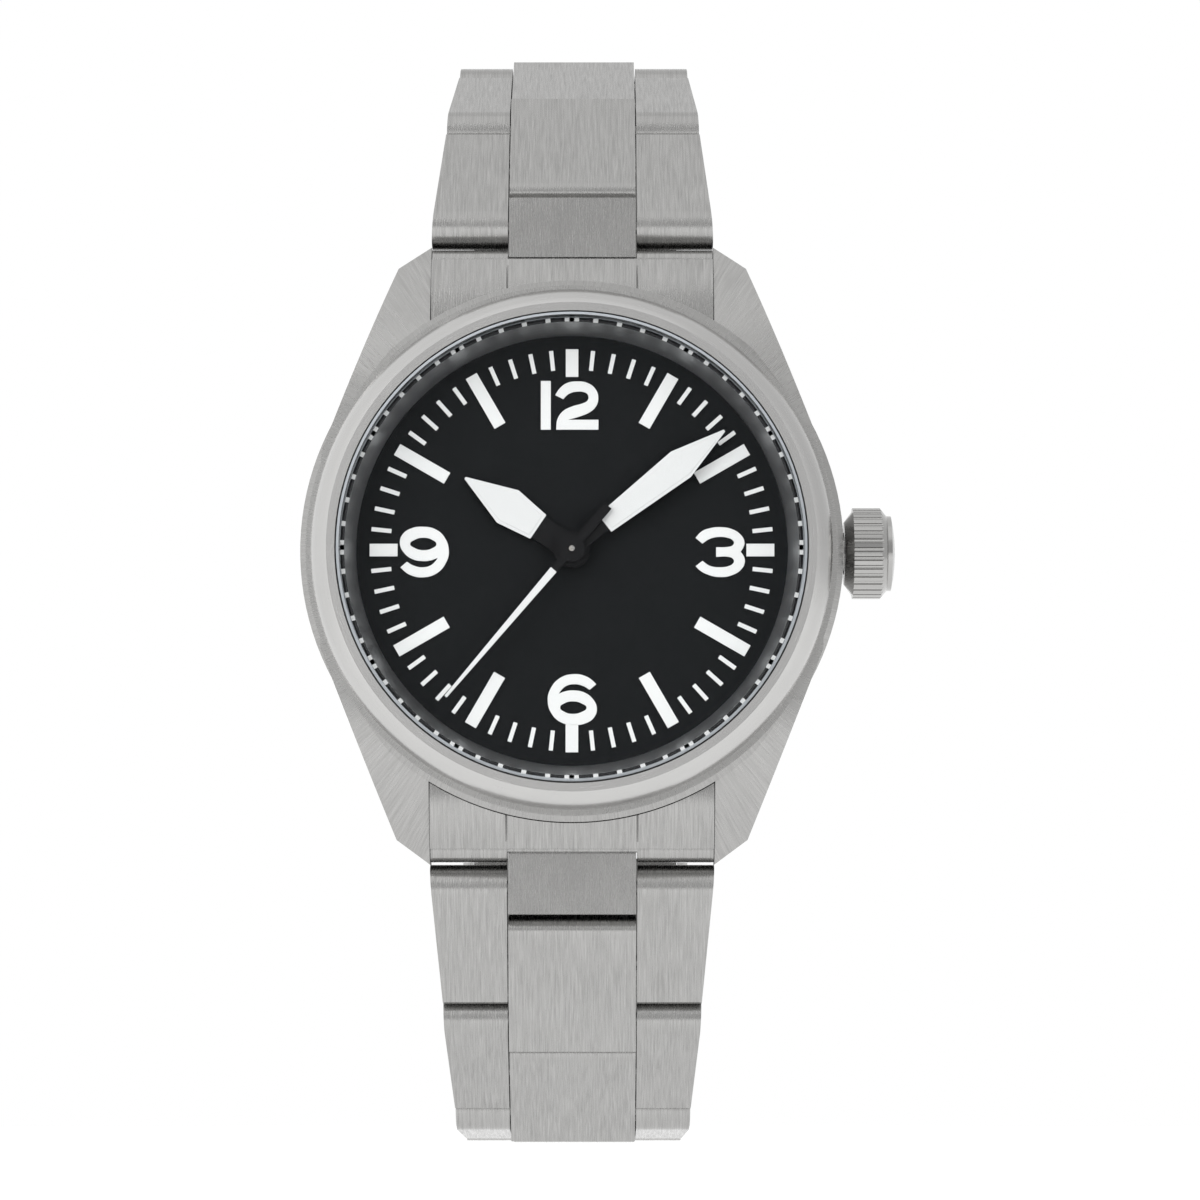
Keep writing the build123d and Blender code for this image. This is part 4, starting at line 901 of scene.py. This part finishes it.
class CaseDressing:
    """Finishes for the case, the bezel, the crystal, the back and the crown."""

    def dress(self) -> None:
        """Give each outer case node its finish."""
        dress("case_middle", CASE_BRUSH.make())
        dress("bezel", BEZEL_SATIN.make())
        dress("crystal", SapphireFinish().make())
        dress("case_back", BACK_BRUSH.make())
        dress("crown crown_tube winding_stem spring_bars", MIRROR.make())
        dress("crystal_gasket case_back_gasket crown_gasket", BLACK_RUBBER.make())


@dataclass
class DialDressing:
    """The dial with its numerals, and the minute ring round it.

    Attributes:
        dial_top: Height of the dial's face.
        print_high: Height of the numerals above it.
        print_edge: Rounding of their upper edge.
        ring_steps: Straight lengths that the minute ring is made of.
        ring_radius: Its middle radius.
        ring_width: Its width.
        ring_high: Height of its foot.
        ring_thick: Its thickness.
        minutes: Marks round the ring.
        minutes_between_hours: Marks from one hour's mark to the next.
        mark_length: Length of a mark along the radius.
        minute_width: Width of a minute's mark.
        hour_width: Width of an hour's mark.
        mark_thick: Height of the marks above the ring.
    """

    dial_top: float = 7.0
    print_high: float = 0.08
    print_edge: float = 0.02
    ring_steps: int = 180
    ring_radius: float = 15.95
    ring_width: float = 0.29
    ring_high: float = 9.1
    ring_thick: float = 0.02
    minutes: int = 60
    minutes_between_hours: int = 5
    mark_length: float = 0.27
    minute_width: float = 0.35
    hour_width: float = 1.0
    mark_thick: float = 0.02

    ONE: Outline = (
        (-2.19, 11.91, True), (-1.49, 11.91, True), (-1.49, 8.47, True), (-2.19, 8.47, True))
    TWO: Outline = (
        (-1.18, 10.91, True), (-0.87, 11.38), (-0.34, 11.77), (0.35, 11.88), (1.05, 11.78),
        (1.64, 11.34), (1.84, 10.68), (1.69, 10.13), (1.29, 9.73), (0.51, 9.39),
        (-0.27, 9.17, True), (1.85, 9.17, True), (1.85, 8.47, True), (-1.11, 8.47, True),
        (-1.04, 9.16), (-0.69, 9.73), (-0.03, 10.1), (0.74, 10.33), (1.07, 10.51),
        (1.15, 10.74), (1.07, 10.99), (0.82, 11.12), (0.35, 11.15), (-0.11, 11.05),
        (-0.38, 10.88), (-0.61, 10.62, True))
    THREE: Outline = (
        (8.64, 0.86, True), (9.09, 1.32), (9.71, 1.55), (10.33, 1.61), (11.11, 1.5),
        (11.77, 1.11), (12.07, 0.56), (11.99, 0.19), (11.8, -0.12, True), (12.01, -0.43),
        (12.09, -0.83), (11.88, -1.31), (11.26, -1.74), (10.33, -1.9), (9.48, -1.72),
        (8.97, -1.45), (8.64, -1.13, True), (9.12, -0.76, True), (9.63, -1.1),
        (10.33, -1.21), (10.99, -1.11), (11.26, -0.94), (11.33, -0.79), (11.22, -0.58),
        (10.95, -0.48), (10.08, -0.48, True), (10.08, 0.2, True), (10.95, 0.23),
        (11.23, 0.33), (11.33, 0.52), (11.22, 0.71), (10.95, 0.84), (10.33, 0.92),
        (9.59, 0.76), (9.12, 0.45, True))
    NINE: Outline = (
        (-12.0, -1.21, True), (-11.54, -0.82, True), (-11.05, -1.1), (-10.43, -1.21),
        (-9.89, -1.08), (-9.58, -0.82), (-9.38, -0.55, True), (-9.89, -0.73),
        (-10.43, -0.78), (-11.13, -0.65), (-11.71, -0.24), (-12.04, 0.44), (-11.86, 1.09),
        (-11.25, 1.52), (-10.43, 1.64), (-9.58, 1.47), (-8.92, 0.9), (-8.61, -0.06),
        (-8.8, -0.88), (-9.46, -1.64), (-10.43, -1.92), (-11.29, -1.76), (-11.69, -1.51))
    NINE_EYE: Outline = (
        (-11.32, 0.43), (-11.01, 0.71), (-10.4, 0.86), (-9.77, 0.71), (-9.48, 0.41),
        (-9.77, 0.13), (-10.4, -0.01), (-11.01, 0.15))
    NINE_MIDDLE = (-10.32, -0.14)
    SIX_MIDDLE = (0.02, -10.47)

    def six(self, outline: Outline) -> Outline:
        """Turn an outline of the nine half round to the place of the six.

        Args:
            outline: An outline of the nine.

        Returns:
            The same outline of the six.
        """
        return tuple((self.SIX_MIDDLE[0] + self.NINE_MIDDLE[0] - x,
                      self.SIX_MIDDLE[1] + self.NINE_MIDDLE[1] - y, *corner)
                     for x, y, *corner in outline)

    def make_numerals(self, ink: bpy.types.Material) -> None:
        """Make the raised numerals 12, 3, 6 and 9.

        Args:
            ink: Their material.
        """
        numerals = {"numeral_twelve": [self.ONE, self.TWO], "numeral_three": [self.THREE],
                    "numeral_six": [self.six(self.NINE), self.six(self.NINE_EYE)],
                    "numeral_nine": [self.NINE, self.NINE_EYE]}
        for name, outlines in numerals.items():
            mesh = raised_shapes(outlines, self.dial_top, self.print_high, self.print_edge)
            finished(mesh, name, "watch", ink)

    def make_minute_ring(self, ink: bpy.types.Material) -> None:
        """Make the black ring round the dial and its white marks.

        Args:
            ink: The marks' material.
        """
        middle = self.ring_high + self.ring_thick / 2
        mesh = ring_on_a_circle().run({
            "Steps": self.ring_steps, "Radius": self.ring_radius * MM,
            "Width": self.ring_width * MM, "Thickness": self.ring_thick * MM,
            "Place": upright(0.0, 0.0, middle), "Material": FLANGE_BLACK.make()})
        finished(mesh, "minute_ring", "watch")
        marks = blocks_round_a_circle()
        place = upright(0.0, 0.0, self.ring_high + self.ring_thick + self.mark_thick / 2)
        for name, step, width in (
                ("minute_ring_marks", 1, self.minute_width),
                ("hour_ring_marks", self.minutes_between_hours, self.hour_width)):
            mesh = marks.run({
                "Count": self.minutes, "Step": step, "Radius": self.ring_radius * MM,
                "Length": self.mark_length * MM, "Width": width * MM,
                "Thickness": self.mark_thick * MM, "Place": place, "Material": ink})
            finished(mesh, name, "watch")

    def dress(self) -> None:
        """Build the dial's own pieces and give its nodes their finishes."""
        ink = PRINT_WHITE.make()
        dress("dial", DIAL_BLACK.make())
        dress("dial_markers", ink)
        dress("chapter_ring", CHAPTER_STEEL.make())
        self.make_numerals(ink)
        self.make_minute_ring(ink)


@dataclass
class BladeHand:
    """A hand with a luminous inlay in its blade.

    Attributes:
        node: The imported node's name.
        body: The body that it rides on.
        angle: Angle from twelve o'clock, clockwise, in degrees.
        top: Height of its upper face.
        white_from: Distance from the arbor at which the white paint starts.
        inlay: Distance from the arbor and width of the inlay at its start, at its
            widest place and at its tip. None is made where it is empty.
        inlay_high: Height of the inlay above the face.
        inlay_sunk: Depth of its foot below the face.
        inlay_edge: Rounding of its upper edge.
    """

    node: str
    body: str
    angle: float
    top: float
    white_from: float
    inlay: tuple[tuple[float, float], ...] = ()
    inlay_high: float = 0.03
    inlay_sunk: float = 0.01
    inlay_edge: float = 0.012

    def make_inlay(self, lume: bpy.types.Material) -> None:
        """Make the luminous inlay.

        Args:
            lume: Its material.
        """
        turn = math.radians(self.angle)
        along = (math.sin(turn), math.cos(turn))
        side = (math.cos(turn), -math.sin(turn))
        right = [(d, w / 2) for d, w in self.inlay]
        left = [(d, -w) for d, w in reversed(right)]
        outline = tuple((along[0] * d + side[0] * w, along[1] * d + side[1] * w, True)
                        for d, w in right + left)
        mesh = raised_shapes([outline], self.top - self.inlay_sunk,
                             self.inlay_high + self.inlay_sunk, self.inlay_edge)
        finished(mesh, self.node + "_lume", self.body, lume)

    def dress(self, lume: bpy.types.Material) -> None:
        """Paint the hand and set its inlay.

        Args:
            lume: The inlay's material.
        """
        paint = PaintedHand(self.node.replace("_", " ") + " paint", self.angle,
                            self.white_from)
        dress(self.node, paint.make())
        if self.inlay:
            self.make_inlay(lume)


class Hands:
    """The hour, minute and second hands."""

    ALL = (BladeHand("hour_hand", "hour", angle=303.9, top=7.6, white_from=2.83,
                     inlay=((3.05, 1.62), (5.4, 2.25), (8.2, 0.42))),
           BladeHand("minute_hand", "minute", angle=52.1, top=8.1, white_from=2.9,
                     inlay=((3.12, 1.12), (9.64, 1.8), (12.6, 0.4))),
           BladeHand("second_hand", "seconds", angle=220.3, top=8.48, white_from=1.95))

    def dress(self) -> None:
        """Paint the three hands and set their inlays."""
        lume = LUME_WHITE.make()
        for hand in self.ALL:
            hand.dress(lume)


@dataclass
class Movement:
    """Finishes for the works, and the timing screws of the balance.

    Attributes:
        screw_count: Timing screws round the balance.
        screw_length: Length of a screw's head along the radius.
        screw_width: Width of a screw's head.
        screw_sunk: From the rim's edge in to a head's middle, over its length.
        screw_height: A head's height over its width.
        rim_high: Height of the middle of the balance rim.
    """

    screw_count: int = 12
    screw_length: float = 0.2
    screw_width: float = 0.26
    screw_sunk: float = 0.45
    screw_height: float = 0.8
    rim_high: float = 4.225

    WHEELS = ((WHEEL_GILT, "hour_wheel minute_wheel centre_wheel third_wheel fourth_wheel"
                           " mainspring_barrel balance_wheel"),
              (GEAR_STEEL, "ratchet_wheel crown_wheel"))

    def make_timing_screws(self, gilt: bpy.types.Material) -> None:
        """Set small screw heads round the balance rim.

        Args:
            gilt: Their material.
        """
        low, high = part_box("balance_wheel")
        centre = node_centre("balance_wheel")
        mesh = blocks_round_a_circle().run({
            "Count": self.screw_count, "Step": 1,
            "Radius": (high[0] - low[0]) / 2 - self.screw_length * MM * self.screw_sunk,
            "Length": self.screw_length * MM, "Width": self.screw_width * MM,
            "Thickness": self.screw_width * MM * self.screw_height,
            "Place": Vector((centre[0], -self.rim_high * MM, centre[2])),
            "Material": gilt})
        finished(mesh, "timing_screws", "balance")

    def dress(self) -> None:
        """Give each node of the works its finish."""
        for finish, nodes in self.WHEELS:
            for node in nodes.split():
                dress(node, finish.make(node_centre(node)))
        dress("cannon_pinion escape_wheel pallet_fork winding_pinion setting_lever"
              " rotor_bearing bridge_screws", MIRROR.make())
        dress("main_plate", PLATE_PEARLS.make())
        dress("train_bridge balance_cock", BRIDGE_STRIPES.make())
        dress("rotor", ROTOR_RINGS.make())
        dress("jewels", RubyFinish().make())
        dress("hairspring", BLUED_SPRING.make())
        dress("mainspring", GREY_SPRING.make())
        dress("movement_ring", SPACER_RESIN.make())
        self.make_timing_screws(WHEEL_GILT.make(node_centre("balance_wheel")))


@dataclass
class Bracelet:
    """Finishes for the end links, the rows and the clasp.

    Attributes:
        upper_rows: Rows between twelve o'clock and the clasp.
        lower_rows: Rows between six o'clock and the clasp.
    """

    upper_rows: int = 5
    lower_rows: int = 6

    def dress(self) -> None:
        """Give each node of the bracelet its finish."""
        rows = [f"upper_row_{i + 1}" for i in range(self.upper_rows)]
        rows += [f"lower_row_{i + 1}" for i in range(self.lower_rows)]
        dress("end_link_top end_link_bottom clasp_cover clasp_middle_blade clasp_inner_blade "
              + " ".join(rows), LINK_BRUSH.make())
        dress("clasp_bars clasp_button_left clasp_button_right", MIRROR.make())


@dataclass
class Studio:
    """The camera, the lights, the surroundings and the floor.

    Attributes:
        aim: Place that the camera looks at, lying frame.
        distance: From the camera to that place.
        elevation: Of the camera above the horizon, in degrees.
        lens: Focal length for the sensor's width.
        lamp_side: Side of each square lamp, in metres.
        lamp_radiance: Brightness of the lamps as they are seen.
        tent_level: Brightness of the tent's walls.
        mouth_level: Brightness of its mouth behind the camera.
        mouth_inner: Share of the forward axis inside which the mouth is darkest.
        mouth_outer: Share of the forward axis at which the wall starts.
        side_fall: Loss of brightness towards the right, and gain to the left.
        floor_drop: Gap from the closed bracelet to the floor: room to unfold it.
        floor_radius: Radius of the floor, in metres.
        floor_glow: Brightness of the floor to the camera and in mirrors.
    """

    aim: Triple = (1.96, -3.5, 7.0)
    distance: float = 304.0
    elevation: float = -4.5
    lens: float = 130.5
    lamp_side: float = 0.9
    lamp_radiance: float = 1.9
    tent_level: float = 1.0
    mouth_level: float = 0.62
    mouth_inner: float = 0.97
    mouth_outer: float = 0.6
    side_fall: float = 0.22
    floor_drop: float = 165.0
    floor_radius: float = 4.0
    floor_glow: float = 0.72

    SENSOR_WIDTH = 36.0
    CLIP_START, CLIP_END = 0.01, 30.0
    LAMPS = (("left_lamp", (-0.6, -0.8, 0.3), 1.25), ("right_lamp", (0.65, -0.75, 0.2), 0.85),
             ("top_lamp", (0.0, -0.45, 0.85), 0.1))

    def make_camera(self) -> None:
        """Set the camera where the portrait was taken from."""
        lens = bpy.data.cameras.new("portrait camera")
        lens.lens = self.lens
        lens.sensor_width = self.SENSOR_WIDTH
        lens.clip_start = self.CLIP_START
        lens.clip_end = self.CLIP_END
        camera = in_the_scene("portrait_camera", lens)
        tilt = math.radians(self.elevation)
        back = Vector((0.0, -math.cos(tilt), math.sin(tilt)))
        camera.location = upright(*self.aim) + back * self.distance * MM
        camera.rotation_euler = (-back).to_track_quat("-Z", "Y").to_euler()
        bpy.context.scene.camera = camera

    def make_lamp(self, name: str, place: Triple, share: float) -> None:
        """Hang a square soft lamp that faces the watch.

        Args:
            name: The lamp's name.
            place: Its place in metres.
            share: Its share of the lamps' brightness.
        """
        light = bpy.data.lights.new(name, "AREA")
        light.shape = "SQUARE"
        light.size = self.lamp_side
        light.energy = self.lamp_radiance * share * math.pi * self.lamp_side ** 2
        lamp = in_the_scene(name, light)
        lamp.location = place
        lamp.rotation_euler = (-Vector(place)).to_track_quat("-Z", "Y").to_euler()

    def make_world(self) -> None:
        """Surround the watch with a pale tent that is darker behind the camera.

        The camera itself sees plain white.
        """
        world = bpy.data.worlds.new("tent")
        world.use_nodes = True
        bpy.context.scene.world = world
        bench = NodeBench(world.node_tree)
        bench.tree.nodes.clear()
        right, forward, _ = bench.split(bench.node("ShaderNodeTexCoord").outputs["Generated"])
        mouth = bench.node("ShaderNodeMapRange", {
            "Value": forward, "From Min": -self.mouth_inner, "From Max": -self.mouth_outer,
            "To Min": self.mouth_level, "To Max": self.tent_level},
            interpolation_type="SMOOTHSTEP")
        side = bench.calc("MULTIPLY_ADD", right, -self.side_fall, 1.0)
        level = bench.calc("MULTIPLY", mouth.outputs["Result"], side)
        rays = bench.node("ShaderNodeLightPath").outputs
        seen = bench.node("ShaderNodeMix", {0: rays["Is Camera Ray"], 2: level, 3: 1.0},
                          data_type="FLOAT")
        sky = bench.node("ShaderNodeBackground",
                         {"Color": opaque(WHITE), "Strength": seen.outputs[0]})
        bench.node("ShaderNodeOutputWorld", {"Surface": sky.outputs[0]})

    def make_floor(self) -> None:
        """Lay the white floor under the bracelet."""
        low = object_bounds()[0]
        work = bmesh.new()
        bmesh.ops.create_circle(
            work, cap_ends=True, segments=96, radius=self.floor_radius,
            matrix=Matrix.Translation((0.0, 0.0, low[2] - self.floor_drop * MM)))
        mesh = bpy.data.meshes.new("floor")
        work.to_mesh(mesh)
        work.free()
        bench = ShaderBench("white card")
        mottle = bench.noise(bench.coordinates(), 0.02, 4.0)
        rays = bench.node("ShaderNodeLightPath").outputs
        seen = bench.calc("MAXIMUM", rays["Is Camera Ray"],
                          bench.calc("MAXIMUM", rays["Is Glossy Ray"],
                                     rays["Is Transmission Ray"]))
        bench.set({"Base Color": bench.tint(mottle, darker(WHITE, 0.42), darker(WHITE, 0.45)),
                   "Roughness": 0.9, "Specular IOR Level": 0.1, "Emission Color": WHITE,
                   "Emission Strength": bench.calc("MULTIPLY", seen, self.floor_glow)})
        bench.bump(mottle, 0.05)
        mesh.materials.append(bench.material)
        in_the_scene("floor", mesh)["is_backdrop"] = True

    def build(self) -> None:
        """Set up the whole studio."""
        bpy.context.scene.view_settings.view_transform = "Standard"
        self.make_camera()
        self.make_world()
        for lamp in self.LAMPS:
            self.make_lamp(*lamp)
        self.make_floor()


def main() -> None:
    """Dress the watch and set up the studio."""
    logging.basicConfig(level=logging.INFO, format="%(message)s")
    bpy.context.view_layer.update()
    for part in (CaseDressing(), DialDressing(), Hands(), Movement(), Bracelet()):
        part.dress()
    Studio().build()


if __name__ == "__main__":
    main()
